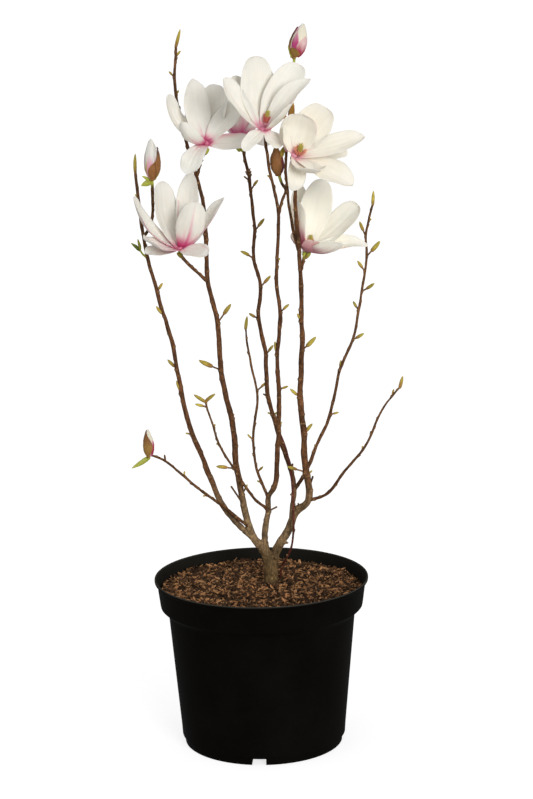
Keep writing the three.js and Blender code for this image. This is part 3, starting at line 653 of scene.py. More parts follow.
def bark_material():
    s = Shader("bark", Roughness=0.7, Specular_IOR_Level=0.18)
    grain = s.noise(650, 6, 0.65, stretch=5)
    patches = s.noise(130, 4, 0.6)
    blots = s.noise(330, 3, 0.6, stretch=1.6)
    pores = s.times(s.spots(330, 0.1, 0.12), s.span(patches, 0.42, 0.6, 0, 1))
    base = s.shade(s.tint(), grain, 0.3, 0.7, 0.5, 1.6)
    base = s.shade(base, blots, 0.35, 0.65, 0.65, 1.4)
    base = s.blend(s.span(patches, 0.5, 0.72, 0, 0.5), base, s.blend(1.0, base, (1.7, 1.75, 1.7), "MULTIPLY"))
    s.to("Base Color", s.blend(s.times(pores, 0.55), base, PORE_TAN))
    s.bump(s.sum(s.times(grain, 0.8), s.times(blots, 0.5), s.times(pores, 0.4)), 0.8, 0.0006)
    s.to("Roughness", s.span(patches, 0.3, 0.7, 0.6, 0.8))
    return s.material


def velvet_material():
    """Bud scales: short silky hair over a mottled skin."""
    s = Shader("velvet_scale", Roughness=0.75, Specular_IOR_Level=0.15, Sheen_Weight=0.2, Sheen_Roughness=0.4)
    fibres = s.noise(1100, 4, 0.6, stretch=6)
    patches = s.noise(220, 3)
    base = s.shade(s.tint(), fibres, 0.3, 0.7, 0.72, 1.28)
    s.to("Base Color", s.shade(base, patches, 0.3, 0.7, 0.8, 1.18))
    s.bump(fibres, 0.5, 0.0004)
    return s.material


def tepal_material():
    s = Shader(
        "tepal", Roughness=0.55, Specular_IOR_Level=0.22, Subsurface_Weight=0.25, Subsurface_Scale=0.0025,
    )
    s.principled.inputs["Subsurface Radius"].default_value = (1.0, 0.8, 0.65)
    veins = s.noise(420, 3, 0.5, stretch=14)
    fine = s.noise(1500, 2, 0.5, stretch=22)
    clouds = s.noise(45, 2)
    base = s.shade(s.tint(), veins, 0.28, 0.72, 0.965, 1.02)
    s.to("Base Color", s.shade(base, clouds, 0.3, 0.7, 0.96, 1.02))
    s.bump(s.sum(veins, s.times(fine, 0.35)), 0.3, 0.0005)
    return s.material


def fleshy_material():
    """Stamens, carpels, green stalks and young leaves."""
    s = Shader(
        "fleshy", Roughness=0.5, Specular_IOR_Level=0.3, Subsurface_Weight=0.12, Subsurface_Scale=0.0015,
    )
    grain = s.noise(800, 3, stretch=4)
    s.to("Base Color", s.shade(s.tint(), grain, 0.3, 0.7, 0.78, 1.2))
    s.bump(grain, 0.3, 0.0003)
    return s.material


def plastic_material(name, bare, dusty):
    """Black plastic with a film of dust, light flecks and a painted highlight along the top of the lip."""
    s = Shader(name, Roughness=0.65, Specular_IOR_Level=0.02)
    grain = s.noise(1500, 2)
    dust = s.noise(14, 5, 0.65)
    flecks = s.times(s.spots(260, 0.045, 0.05), 0.22)
    height = s.node("SeparateXYZ", ("Vector", s.place)).outputs["Z"]
    # A painted highlight along the top of the lip.
    lip_highlight = s.span(height, (POT.height - 1.6) * MM, (POT.height - 0.4) * MM, 0, 0.8)
    black = s.blend(s.span(dust, 0.4, 0.75, 0, 1), bare, dusty)
    s.to("Base Color", s.blend(s.sum(flecks, lip_highlight), black, PAINTED_LIP_HIGHLIGHT))
    s.to("Roughness", s.span(dust, 0.3, 0.75, 0.6, 0.75))
    s.bump(grain, 0.25, 0.0002)
    return s.material


def chip_material(name, tint, spread):
    s = Shader(name, Roughness=0.85, Specular_IOR_Level=0.12)
    grain = s.noise(900, 5, 0.65, stretch=5)
    patches = s.noise(110, 3)
    faded = tuple(value * share for value, share in zip(tint, FADED_BARK))
    aged = s.blend(s.span(s.noise(190, 2), 0.42, 0.6, 0, 1), tint, faded)
    base = s.shade(aged, grain, 0.28, 0.72, 1 - spread, 1 + spread)
    s.to("Base Color", s.shade(base, patches, 0.32, 0.68, 0.5, 1.5))
    s.bump(grain, 0.8, 0.0006)
    return s.material


def floor_material():
    """A white floor that glows a little, so that shadows on it stay faint."""
    s = Shader("pale_floor", Roughness=0.9, Specular_IOR_Level=0.05, Emission_Strength=0.75)
    s.principled.inputs["Base Color"].default_value = (0.5, 0.5, 0.5, 1)
    s.principled.inputs["Emission Color"].default_value = (1, 1, 1, 1)
    return s.material


# Wood

for stem in STEMS.values():
    stem["limb"] = Limb(stem["bends"])


def stem_radius(stem, at):
    return mix(*stem["radius"], np.asarray(at) ** 0.75)


SPIRAL = 2.4  # radians from one leaf, stamen or scar to the next


def node_sites(name, stem):
    """Where a stem thickens at its buds and old leaf scars: [share of length, turn round the stem, size].
    They stand closer on young wood."""
    rng = np.random.default_rng(len(name) * 31 + 7)
    limb = stem["limb"]
    knobs = stem.get("knobs", [])
    sites = [(limb.share_at(bud[0]), 0 if bud[1] > 0 else np.pi, 1.0) for bud in stem["buds"]]
    sites += [(limb.share_at(height), 0 if side > 0 else np.pi, size) for height, side, size in knobs]
    walked, side = 9.0, 0.0
    while walked < limb.length - 3:
        share = walked / limb.length
        radius = float(stem_radius(stem, share))
        if all(abs(share - at) * limb.length > 4.5 for at, *_ in sites):
            sites.append((share, side + rng.normal(0, 0.5), rng.uniform(0.25, 1.15)))
        side += SPIRAL
        walked += rng.uniform(0.7, 1.4) * np.interp(radius, [1.5, 3.0, 4.5], [9, 17, 34])
    return sites


STEM_STEP, STEM_SIDES, JOIN_RINGS = 1.85, 16, 16
# Rings of points about each node, as distances along the stem, and the least gap between rings
NODE_RINGS = (-2.4, -1.3, -0.8, -0.45, -0.15, 0.15, 0.45, 0.8, 1.5)
RING_GAP = 0.22


def stem_rings(limb, sites, start):
    """Where a stem's rings of points stand along it: evenly, and closer together about each node."""
    near = [share * limb.length + off for share, *_ in sites for off in NODE_RINGS]
    walked = np.sort(np.concatenate([np.arange(start, limb.length, STEM_STEP), near, [limb.length]]))
    walked = walked[(walked >= start) & (walked <= limb.length)]
    return walked[np.concatenate([[True], np.diff(walked) > RING_GAP])]


def wavered(centres, walked, limb, start, seed):
    """The middle line with a slight waver, which dies out at both ends."""
    inside = np.minimum(smooth(0, 12, walked - start), smooth(0, 8, limb.length - walked))[:, None]
    sway = np.stack([ripples(centres, 17, seed), ripples(centres, 17, seed + 1), 0 * walked], -1)
    return centres + 0.42 * inside * sway


def with_nodes(radii, walked, limb, sites):
    """The radii with each node's ring and swelling, and how strong its leaf scar and the painted shade in its
    crease are.
    """
    turn = turns(STEM_SIDES)
    scar, crease = np.zeros_like(radii), np.zeros_like(radii)
    for share, facing, size in sites:
        off = (walked - share * limb.length)[:, None]
        one_side = (0.5 + 0.5 * np.cos(turn - facing))[None, :]
        ring = 0.06 * hump(off, 0.6)
        swelling = 0.75 * hump(off + 0.3, 1.7) * one_side**2.5
        radii = radii + size * (ring + swelling)
        scar = np.maximum(scar, size * hump(off + 0.2, 1.0) * one_side**2)
        # A band of painted shade in the crease on the lower flank of the swelling.
        crease = np.maximum(crease, size * hump(off + 1.1, 0.4) * one_side)
    return radii, scar, crease


def stem_skin(pile, limb, radius_at, sites, seed, wood, start_flare=0.4, from_share=0.0, green_end=0.0):
    """A stem with ringed, swollen nodes, pale leaf scars, painted shade in the crease under each node, and
    wrinkles.
    `wood` gives its tint from its height and radius."""
    start = from_share * limb.length
    walked = stem_rings(limb, sites, start)
    at = walked / limb.length
    along = limb.along(at)
    centres = wavered(limb.at(at), walked, limb, start, seed)
    radius = radius_at(at)
    flare = 1 + start_flare * np.exp(-(walked - start) / (2.2 * radius[0]))
    smooth_radii = (radius * flare)[:, None] * np.ones(STEM_SIDES)
    radii, scar, crease = with_nodes(smooth_radii, walked, limb, sites)
    right, front = sides_of(along)
    skin = centres[:, None] + radii[..., None] * around(turns(STEM_SIDES), right[:, None], front[:, None])
    flat = skin.reshape(-1, 3)
    wrinkle = ripples(flat * (1, 1, 0.4), 2.6, seed + 2) * 0.06
    wrinkle += ripples(flat * (1, 1, 0.6), 7, seed + 3) * 0.08
    radii *= 1 + wrinkle.reshape(radii.shape)
    radii[-1] *= 0.6
    tint = np.repeat(wood(centres[:, 2], radius)[:, None], STEM_SIDES, 1)
    dapple = (ripples(flat * (1, 1, 0.35), 9, seed + 4).reshape(radii.shape) * 0.22)[..., None]
    # Pale leaf scars, then painted shade darkening each crease.
    tint = mix(tint * (1 + dapple), SCAR_TAN, 0.6 * scar[..., None]) * (1 - 0.5 * crease[..., None])
    if green_end:
        fresh = smooth(limb.length - green_end * 1.6, limb.length - green_end * 0.6, walked)[:, None, None]
        tint = mix(tint, STALK_GREEN, fresh)
    tube(pile, centres, radii, STEM_SIDES, tint, along=along)


def join(pile, stem):
    """The crotch where a stem leaves the one it grows on."""
    parent, limb = STEMS[stem["on"]], stem["limb"]
    foot = limb.at(0.0)
    nearest = np.argmin(np.linalg.norm(parent["limb"].line - foot, axis=1))
    share = parent["limb"].walk[nearest] / parent["limb"].length
    radius = float(stem_radius(stem, 0.0))
    root = parent["limb"].at(share - 2.5 * radius / parent["limb"].length)
    end = limb.at(3.5 * radius / limb.length)
    t = np.linspace(0, 1, JOIN_RINGS)[:, None]
    centres = (1 - t) ** 2 * root + 2 * t * (1 - t) * foot + t**2 * end
    radii = radius * np.linspace(1.2, 1.02, JOIN_RINGS)
    tube(pile, centres, radii, STEM_SIDES, stem_wood(centres[:, 2], radii))


def nubs(pile, limb, radius_at, sites):
    """Small spurs and the stubs of old buds at the nodes of young wood."""
    for share, facing, size in sites:
        radius = float(radius_at(share))
        if radius > 2.5 or size < 0.5:
            continue
        along = limb.along(share)
        right, front = sides_of_one(along)
        heading = unit(around(facing, right, front) + along * 0.7)
        reach = radius + size * 1.5
        centres, walked = straight(limb.at(share), heading, reach, 7)
        radii = np.interp(walked / reach, [0, 0.6, 0.85, 1], [1.1, 0.95, 0.7, 0.25])
        tube(pile, centres, radii, 9, mix(TWIG_WOOD, SCAR_TAN, 0.45))


def stem_wood(height, radius):
    """Grey olive at the foot, dark red brown above, and paler towards the tips."""
    old = smooth(350, 275, height)[:, None] * smooth(2.0, 4.0, radius)[:, None]
    young = smooth(2.1, 1.2, radius)[:, None]
    tint = mix(STEM_WOOD, TWIG_WOOD, young * 0.6)
    return mix(tint, GREY_WOOD, old)


def shoot_wood(height, radius):
    return np.tile(SHOOT_WOOD, (len(height), 1))


def bud_heading(stem, at, turn, side, degrees):
    along = stem["limb"].along(at)
    right, front = sides_of_one(along)
    return unit(around(math.radians(degrees), along, around(turn, side * right, front)))


def side_buds(name, stem):
    """Each side bud of a stem: its foot, heading, stem radius, stalk and bud length."""
    random = seeded(len(name) * BUD_SEED + stem["buds"][0][0])
    for bud in stem["buds"]:
        height, side, stalk, length, degrees = (*bud, BUD_ANGLE)[:5]
        turn = (next(random) - 0.5) * 2 * BUD_TURN
        at = stem["limb"].share_at(height)
        heading = bud_heading(stem, at, turn, side, degrees)
        yield stem["limb"].at(at), heading, float(stem_radius(stem, at)), stalk, length


STUB_RADIUS = 1.15
STALK = Sizes(radius=1.05, ring=0.16, ring_step=1.7)


def straight(foot, heading, reach, count):
    walked = np.linspace(0, reach, count)
    return foot + walked[:, None] * heading, walked


def cut_stub(pile, foot, heading, reach, seed):
    """A short dead stub with a dry end."""
    centres, walked = straight(foot, heading, reach, max(6, int(reach / 1.2)))
    radii = STUB_RADIUS * (1 + 0.35 * np.exp(-walked / 2)) * (1 + 0.08 * ripples(centres, 4, seed))
    radii[-1] *= 0.75
    tube(pile, centres, radii, 10, mix(STEM_WOOD, OLD_WOOD, 0.5))


def bud_stalk(pile, foot, heading, reach):
    """The ringed spur under a leaf bud."""
    centres, walked = straight(foot, heading, reach + 0.6, max(7, int(reach / 0.7)))
    radii = STALK.radius + STALK.ring * np.cos(walked * 2 * np.pi / STALK.ring_step)
    radii += 0.3 * np.exp(-walked / 1.5)
    tube(pile, centres, radii, 10, np.array(TWIG_WOOD) * 1.25)


BUD_PROFILE = ((0, 0.7), (0.08, 0.86), (0.3, 1.0), (0.6, 0.94), (0.82, 0.66), (0.94, 0.36), (1, 0.1))
BUD_ROUND, BUD_LEAN = 14, 0.12


def bud_radius(length):
    """A longer bud is thicker."""
    return (1.1 + 0.125 * max(0, length - 5)) * 1.08


def leaf_bud(pile, foot, heading, length, radius, seed, tints=(BUD_TAN, BUD_GREEN)):
    """A blunt silky bud, brown at its foot, of two scales of which one laps over the other."""
    rng = np.random.default_rng(seed)
    count = max(10, int(length / 0.8))
    share = np.linspace(0, 1, count)
    bend = unit(np.cross(heading, rng.normal(size=3)))
    bent = share**2 * length * BUD_LEAN * rng.uniform(0, 1)
    centres = foot + share[:, None] * length * heading + bent[:, None] * bend
    radii = radius * np.interp(share, *zip(*BUD_PROFILE))
    turn = turns(BUD_ROUND)
    lap = rng.uniform(0, 2 * np.pi) + 1.1 * share[:, None]
    over = smooth(0.0, 0.35, np.cos(turn[None, :] - lap) - mix(-0.5, 0.3, share[:, None]))
    radii = radii[:, None] * (0.95 + 0.1 * over)
    brown, green = (np.array(tint) * rng.uniform(0.85, 1.15) for tint in tints)
    fresh = smooth(0.05, 0.5, share + 0.1 * rng.normal())[:, None]
    tint = mix(brown, mix(green, brown, rng.uniform(0, 0.35)), fresh)
    tint = np.repeat(tint[:, None], BUD_ROUND, 1) * (0.88 + 0.16 * over)[..., None]
    tube(pile, centres, radii, BUD_ROUND, tint)
    if length > 5:
        hairs(pile, centres, radii.mean(1), heading, int(length * 5), 0.8, tint.mean((0, 1)) * 1.4, seed)


def hairs(pile, centres, radii, heading, count, length, tint, seed):
    """Fine silky hairs that stand up from a bud."""
    rng = np.random.default_rng(seed + 5)
    pick = rng.integers(1, len(centres) - 1, count)
    right, front = sides_of_one(heading)
    out = around(rng.uniform(0, 2 * np.pi, count), right, front)
    root = centres[pick] + out * (radii[pick, None] * 0.97)
    tip = root + (unit(heading) * 0.8 + out * 0.45 + rng.normal(0, 0.16, (count, 3))) * length
    side = np.cross(out, heading) * 0.05
    spikes(pile, root, side, out * 0.07, tip, tint)


# How far the trunk's skin goes on up a bough, and over how much of that it thins out
FORK_REACH, FORK_END = 38, 10
TRUNK_VOXEL = 0.75
# Knots and the stubs of pruned shoots on the trunk: [foot, heading, radius, reach]
KNOTS = [
    ((13, 7, 209), (0.2, -1, 0.35), 2.4, 1.8), ((18, 7, 229), (0.5, -1, 0.5), 3.0, 2.6),
    ((26, 9, 243), (0.3, -1, 0.6), 2.2, 1.6), ((-3, 6, 243), (-0.6, -0.8, 0.2), 2.2, 2.0),
    ((5, 10, 222), (-1, -0.3, 0.3), 2.2, 2.0), ((30, 10, 246), (1, -0.3, 0.1), 1.4, 4.0),
    ((19, 22, 214), (0.4, 1, 0.4), 2.8, 2.4),
]


def trunk_skin():
    """The trunk and the foot of its three boughs as one grown-together skin, with knots and bark."""
    pile = Pile()
    foot = np.array([*TRUNK.foot, MULCH.centre - 1.5])
    head = np.array(TRUNK.head)
    length = np.linalg.norm(head - foot)
    centres, walked = straight(foot, (head - foot) / length, length, 26)
    radii = mix(*TRUNK.radius, walked / length) + TRUNK.flare * np.exp(-walked / TRUNK.flare_height)
    tube(pile, centres, radii, 32)
    for name, height in FORKS.items():
        stem = STEMS[name]
        limb, to = stem["limb"], stem["limb"].share_at(height)
        reach = to + FORK_REACH / limb.length
        at = np.linspace(0, reach, 60)
        swell = np.interp(at, [0, to, reach - FORK_END / limb.length, reach], [1.32, 1.1, 1.03, 0.8])
        tube(pile, limb.at(at), stem_radius(stem, at) * swell, 24, along=limb.along(at))
    for foot, heading, radius, reach in KNOTS:
        centres, _ = straight(foot, unit(heading), reach, 8)
        tube(pile, centres, radius * np.linspace(1.25, 0.8, 8), 14)
    return fused(pile, "trunk_bark", TRUNK_VOXEL)


def fused(pile, name, voxel):
    """The pile's closed shapes grown together into one smooth mesh."""
    rough = placed(name + "_rough", pile.mesh(name + "_rough"))
    remesh = rough.modifiers.new("grow", "REMESH")
    remesh.mode = "VOXEL"
    remesh.voxel_size = voxel * MM
    soften = rough.modifiers.new("soften", "SMOOTH")
    soften.factor, soften.iterations = 0.5, 5
    mesh = bpy.data.meshes.new_from_object(rough.evaluated_get(bpy.context.evaluated_depsgraph_get()))
    bpy.data.objects.remove(rough)
    mesh.name = name
    return mesh


def relief(mesh):
    """Bark ridges, warts and grey and olive patches on the trunk's skin."""
    count = len(mesh.vertices)
    place, normal = np.zeros(count * 3), np.zeros(count * 3)
    mesh.vertices.foreach_get("co", place)
    mesh.vertices.foreach_get("normal", normal)
    place, normal = place.reshape(-1, 3) / MM, normal.reshape(-1, 3)
    ridges = ripples(place * (1, 1, 0.35), 3.2, 41) * 0.16 + ripples(place, 8, 42) * 0.3
    fine = ripples(place * (1, 1, 0.5), 1.6, 43) * 0.08
    warts = np.maximum(0, ripples(place, 4.5, 44) - 0.75) * 1.1
    moved = place + normal * (ridges + fine + warts)[:, None]
    mesh.vertices.foreach_set("co", (moved * MM).ravel())
    upper = smooth(222, 258, place[:, 2])[:, None]
    mottled = ripples(place, 9, 45)[:, None]
    tint = mix(OLD_WOOD, GREY_WOOD, upper) * (1 + 0.25 * mottled) * (1 + 0.7 * np.clip(warts, 0, 1)[:, None])
    # Darker towards the foot, where the trunk meets the mulch.
    darker_at_foot = smooth(MULCH.centre + 9, MULCH.centre - 2, place[:, 2])[:, None]
    for attribute in ("tint", "way"):
        if attribute in mesh.attributes:
            mesh.attributes.remove(mesh.attributes[attribute])
    paint(mesh, tint * (1 - 0.35 * darker_at_foot), place)
    mesh.polygons.foreach_set("use_smooth", np.ones(len(mesh.polygons), bool))
    mesh.update()


# Blooms

def tepal_width(at):
    past = np.clip((at - WIDEST) / (1 - WIDEST), 0, 1)
    rising = CLAW + (1 - CLAW) * np.sin(np.pi / 2 * np.minimum(at, WIDEST) / WIDEST)
    return np.where(at < WIDEST, rising, np.sqrt(np.maximum(0.0004, 1 - past**2.3)))


TEPAL_ROWS, TEPAL_COLUMNS = 36, 23
# Folds along a tepal: [side, from -1 to 1, height]
TEPAL_FOLDS = ((-0.45, -0.22), (0.42, -0.25), (0.7, 0.15))


def tepal_axes(axis, tip, turn):
    """A tepal's root, the chord from there to its tip, and the directions across it and inward."""
    root = unit(tip - axis * (tip @ axis)) * TEPAL_RING
    chord = tip - root
    along = chord / np.linalg.norm(chord)
    inward = unit(axis - along * (axis @ along))
    across = np.cross(inward, along)
    roll = math.radians(turn)
    return root, chord, around(roll, across, inward), around(roll, inward, -across)


def tepal_relief(rng, phase, at, side, half, length, width, bow, cup):
    """How far a tepal stands inward of its chord: bow, cup, ruffled rim, midrib, folds and curled end."""
    bulge = -bow * length * 4 * at * (1 - at)
    rim = np.abs(side) ** 2.4 * smooth(0.2, 0.65, at)
    waves = np.sin(at * rng.uniform(7, 11) + phase[0] + side) + 0.5 * np.sin(at * 16 + phase[1])
    ruffle = 0.03 * width * rim * waves
    swell = 0.022 * width * np.sin(at * 6 + phase[2]) * np.cos(side * 2.2 + phase[3]) * smooth(0.1, 0.4, at)
    midrib = -0.55 * hump(side, 0.09) * smooth(1.0, 0.6, at) * smooth(0, 0.15, at)
    folds = sum(size * hump(side - place, 0.1) for place, size in TEPAL_FOLDS)
    folds = folds * smooth(0.95, 0.5, at) * smooth(0.02, 0.3, at)
    curl = rng.uniform(-0.015, 0.045) * length * smooth(0.72, 1.0, at) ** 2
    return bulge + cup * half * side**2 + ruffle + swell + midrib + folds - curl


def tepal(pile, foot, axis, spec, pink, tone, mark, seed):
    """One tepal: a thin blade that widens from its claw, cups, bows, ripples at its rim and ends in a slight
    point. The sign of its mark's rim is the side on which the rim is pink."""
    x, y, z, width, bow, cup, turn = (*spec, 0)[:7]
    streak, pink_reach, pointed, pink_rim, painted_shade = (*mark, 0, 0)[:5]
    rng = np.random.default_rng(seed)
    root, chord, across, inward = tepal_axes(axis, np.array((x, y, z), float), turn)
    length = np.linalg.norm(chord)
    share, side = patch(TEPAL_ROWS, TEPAL_COLUMNS)
    at = 1 - (1 - share) ** 1.4
    half = width / 2 * tepal_width(at) ** mix(1, pointed, smooth(0.6, 1, at))
    phase = rng.uniform(0, 2 * np.pi, 6)
    height = tepal_relief(rng, phase, at, side, half, length, width, bow, cup)
    sway = rng.uniform(-0.025, 0.025) * width * np.sin(at * np.pi)
    reach = side * half * (1 - 0.18 * cup) * (1 + 0.03 * np.sin(at * 9 + phase[4])) + sway
    grid = foot + root + at[..., None] * chord + reach[..., None] * across + height[..., None] * inward
    lift = unit(np.cross(np.gradient(grid, axis=1), np.gradient(grid, axis=0)) + 1e-9 * inward)
    lift *= np.sign((lift * inward).sum(-1).mean() + 1e-9)
    blush = ripples(np.stack([side * 9 + seed, at * 2.2, at * 0], -1), 2.2, seed) * 0.12
    # Both faces are multiplied by the bloom's painted light and shade.
    tint_out = tepal_tint(at, side, pink[0], streak, blush, CREAM, pink_reach, pink_rim, painted_shade) * tone
    tint_in = tepal_tint(at, side, pink[1], 0.4 * streak, blush, INNER_CREAM, 0.2, pink_rim, painted_shade) * tone
    thick = TEPAL_THICK * (0.35 + 0.65 * smooth(1.0, 0.75, np.maximum(np.abs(side), at)))[..., None]
    way = np.stack([side * half, np.full_like(side, seed * 3.7), at * length], -1)
    sheet(pile, grid, lift, thick, tint_in, tint_out, way=way)


def tepal_tint(at, side, strength, streak, blush, cream, reach, pink_rim, painted_shade):
    """Cream, with a magenta foot that runs out along the midrib, in fine streaks and along one rim. Painted
    shade dulls its pinks towards mauve."""
    lines = 0.5 + 0.5 * np.cos(side * 21)
    edge = reach * (1 - 0.45 * side**2) + 0.07 * lines + blush
    foot = smooth(edge, edge * 0.1, at) * strength
    rib = hump(side - 0.05, 0.1) * smooth(0.95, 0.25, at + 3 * blush) * streak
    rim = smooth(0.45, 1.0, side * np.sign(pink_rim)) * smooth(1.0, 0.4, at + blush) * abs(pink_rim)
    rose = np.clip(0.85 * foot + 0.75 * rib + rim, 0, 1)[..., None]
    deep = smooth(reach * 0.6, 0.02, at) * strength + 0.45 * rib * smooth(0.75, 0.2, at)
    deep = np.clip(deep, 0, 1)[..., None]
    # Painted shade dulls both pinks towards mauve.
    pale, strong = (mix(pink, PAINTED_SHADE_MAUVE, painted_shade) for pink in (ROSE, MAGENTA))
    return mix(mix(cream, pale, rose), strong, deep)


# The cone of carpels in a bloom, the curled stigma on each, and the stamens round them
CARPELS = Sizes(reach=17, radius=2.7, count=32)
CARPEL_CONE = ((0, 1.1), (0.25, 1.05), (0.7, 0.8), (0.9, 0.5), (1, 0.2))
STIGMA = Sizes(out=(0, 0.8, 1.5, 1.9, 1.8), up=(0, 0.7, 1.6, 2.6, 3.3), radii=(0.7, 0.62, 0.45, 0.3, 0.12))
STAMENS = Sizes(reach=(6.5, 9.5), ring=3.3, count=62, radii=(0.5, 0.62, 0.7, 0.68, 0.6, 0.42, 0.1))


def bloom_centre(pile, foot, lean, size, seed, shift=(0, 0, 0), coral=0.2, flare=0.3):
    """The cone of carpels with curled stigmas, and the ring of stamens round its foot."""
    rng = np.random.default_rng(seed)
    foot, axis = np.add(foot, shift), unit(lean)
    right, front = sides_of_one(axis)
    reach = CARPELS.reach * size
    centres, walked = straight(foot, axis, reach, 14)

    def cone(up):
        return CARPELS.radius * size * np.interp(up / reach, *zip(*CARPEL_CONE))

    tube(pile, centres, cone(walked), 14, PISTIL_GREEN)
    for i in range(CARPELS.count):
        up = reach * (0.3 + 0.62 * i / CARPELS.count)
        out = around(i * SPIRAL, right, front)
        root = foot + axis * up + out * cone(up) * 0.85
        spread = np.array(STIGMA.out) * size * 0.8
        climb = np.array(STIGMA.up) * size * 0.8
        line = root + spread[:, None] * out + climb[:, None] * axis
        tint = mix(PISTIL_GREEN, STAMEN_CORAL, 0.15 * (i % 3))
        tube(pile, line, np.array(STIGMA.radii) * size, 5, tint)
    for i in range(STAMENS.count):
        out = around(i * SPIRAL + rng.normal(0, 0.1), right, front)
        low = -1.5 + 3.5 * i / STAMENS.count
        length = rng.uniform(*STAMENS.reach) * size
        share = np.linspace(0, 1, 7)[:, None]
        spread = flare * rng.uniform(0.7, 1.4)
        bend = share**1.5 * length * spread - 0.25 * length * spread * share**4
        line = foot + axis * (low + share * length) + out * (STAMENS.ring * size + bend)
        tint = mix(STAMEN_RED, STAMEN_CORAL, np.clip(coral + rng.normal(0, 0.15), 0, 1))
        tube(pile, line, np.array(STAMENS.radii) * size, 6, tint, squeeze=0.6)


def receptacle(pile, foot, axis, pink):
    """The green neck under a bloom, ringed where its scales fell, and pink above like the tepals' feet."""
    centres, walked = straight(foot - axis * 8, axis, 9.6, 26)
    radii = np.interp(walked, [0, 3, 6, 8, 9, 9.6], [1.9, 2.6, 3.5, 3.9, 3.1, 1.6])
    radii += 0.2 * np.cos(walked * 2.6)
    inside = mix(INNER_CREAM, mix(ROSE, MAGENTA, 0.5), min(1.0, 0.35 + pink))
    tube(pile, centres, radii, 16, mix(STALK_GREEN, inside, smooth(4.5, 7, walked)[:, None]))


# Flower buds, still closed: furled tepals in a torn, furry sheath. A wrap is [facing, half width, start,
# end, stand-off, tint at the foot, tint above, where it changes, sweep]. Facing is in degrees, 0 on the
# right and 90 towards the viewer, and the sweep is added to it on the way up.
FURLED = {
    "leader_top": dict(
        foot=(50, 14, 834), tip=(61, 16, 873), radius=9.5,
        tepals=[
            (60, 178, 0, 0.97, 1.0, ROSE, CREAM, 0.3), (80, 84, 0.0, 1.0, 1.06, ROSE, BUTTER, 0.22),
            (158, 72, 0.0, 0.88, 1.07, MAGENTA, ROSE, 0.5, 8),
            (35, 62, 0.0, 0.64, 1.12, CRIMSON, BLUSH, 0.3, 10),
        ],
        scales=[
            (172, 24, -0.06, 0.84, 1.17, BUD_TAN, SCALE_DARK, 0.4, 8),
            (115, 62, -0.06, 0.24, 1.16, BUD_TAN, BUD_TAN, 0.4),
        ],
    ),
    "left_outer": dict(
        foot=(-120, -2, 696), tip=(-120.5, -2, 743), radius=8.6,
        tepals=[
            (0, 178, 0, 0.97, 1.0, ROSE, CREAM, 0.3), (105, 78, 0.0, 1.0, 1.06, ROSE, CREAM, 0.5),
            (185, 60, 0.02, 0.95, 1.07, BUD_GREEN, CREAM, 0.35), (20, 60, 0.0, 0.97, 1.05, ROSE, CREAM, 0.4),
        ],
        scales=[
            (82, 66, -0.05, 0.56, 1.18, RUST, RUST, 0.5, -70),
            (0, 64, -0.03, 0.78, 1.3, RUST, SCALE_DARK, 0.62),
        ],
    ),
    "low_left": dict(
        foot=(-128, -84, 380), tip=(-129, -86, 413), radius=5.8,
        tepals=[
            (0, 178, 0, 0.98, 1.0, ROSE, CREAM, 0.5), (60, 70, 0.0, 1.0, 1.05, ROSE, BUTTER, 0.4),
            (22, 44, 0.0, 0.6, 1.12, CRIMSON, ROSE, 0.45),
        ],
        scales=[(150, 104, -0.05, 0.97, 1.16, BUD_TAN, SCALE_BROWN, 0.45)],
    ),
    "centre": dict(
        foot=(28, -50, 704), tip=(25.5, -53, 736), radius=7.0,
        tepals=[(0, 178, 0, 0.98, 1.0, WINE, WINE, 0.6), (5, 55, 0.0, 0.75, 1.2, WINE, WINE, 0.55)],
        scales=[
            (110, 176, -0.05, 1.0, 1.1, RUST, SCALE_BROWN, 0.55),
            (135, 90, -0.04, 0.86, 1.18, RUST, SCALE_BROWN, 0.6),
        ],
    ),
}
FURLED_SIZE = 0.93
FURLED_PROFILE = (
    (0, 0.42), (0.07, 0.68), (0.22, 0.95), (0.4, 1.0), (0.6, 0.88), (0.8, 0.58), (0.93, 0.28), (1, 0.06),
)


def wrap(pile, foot, tip, radius, spec, seed, furry):
    """One wrap of a bud: a smooth tepal, finish 0, or a furry scale, finish 1."""
    facing, half, start, end, stand, low_tint, high_tint, change, sweep = (*spec, 0)[:9]
    rng = np.random.default_rng(seed)
    along = unit(np.subtract(tip, foot))
    length = np.linalg.norm(np.subtract(tip, foot))
    right, front = sides_of_one(along)
    share, side = patch(28, 23)
    at = mix(start, end, share)
    full = half > 170
    narrow = 1.0 if full else 0.55 + 0.45 * np.sin(np.pi * np.minimum(share, 0.5))
    taper = 1.0 if full else np.sqrt(np.maximum(0.0008, 1 - smooth(0.35, 1.0, share) ** 1.3))
    turn = np.radians(facing + sweep * share + side * half * narrow * taper)
    radii = radius * np.interp(np.clip(at, 0, 1), *zip(*FURLED_PROFILE)) * stand
    radii = radii + (0 if full else 0.35 * smooth(0.6, 1, np.abs(side)) * rng.uniform(0.3, 1))
    way = np.stack([side * radius * np.radians(half), np.full_like(side, seed * 5.3), at * length], -1)
    if furry:
        radii += 0.5 * smooth(0.75, 1.0, share) ** 2 + 0.3 * ripples(way * (1, 1, 0.4), 5, seed)
    out = around(turn, right, front)
    grid = foot + (at * length)[..., None] * along + out * radii[..., None]
    blush = 0.1 * ripples(np.stack([side * 6, at * 2, 0 * at], -1), 2, seed + 1)
    fade = smooth(change - 0.16, change + 0.2, at + blush)[..., None]
    tint = mix(low_tint, high_tint, fade)
    sheet(pile, grid, out, 0.9 if furry else 0.6, tint, tint, int(furry), way)
    if furry:
        fur_on(pile, grid, out, along, tint, seed)


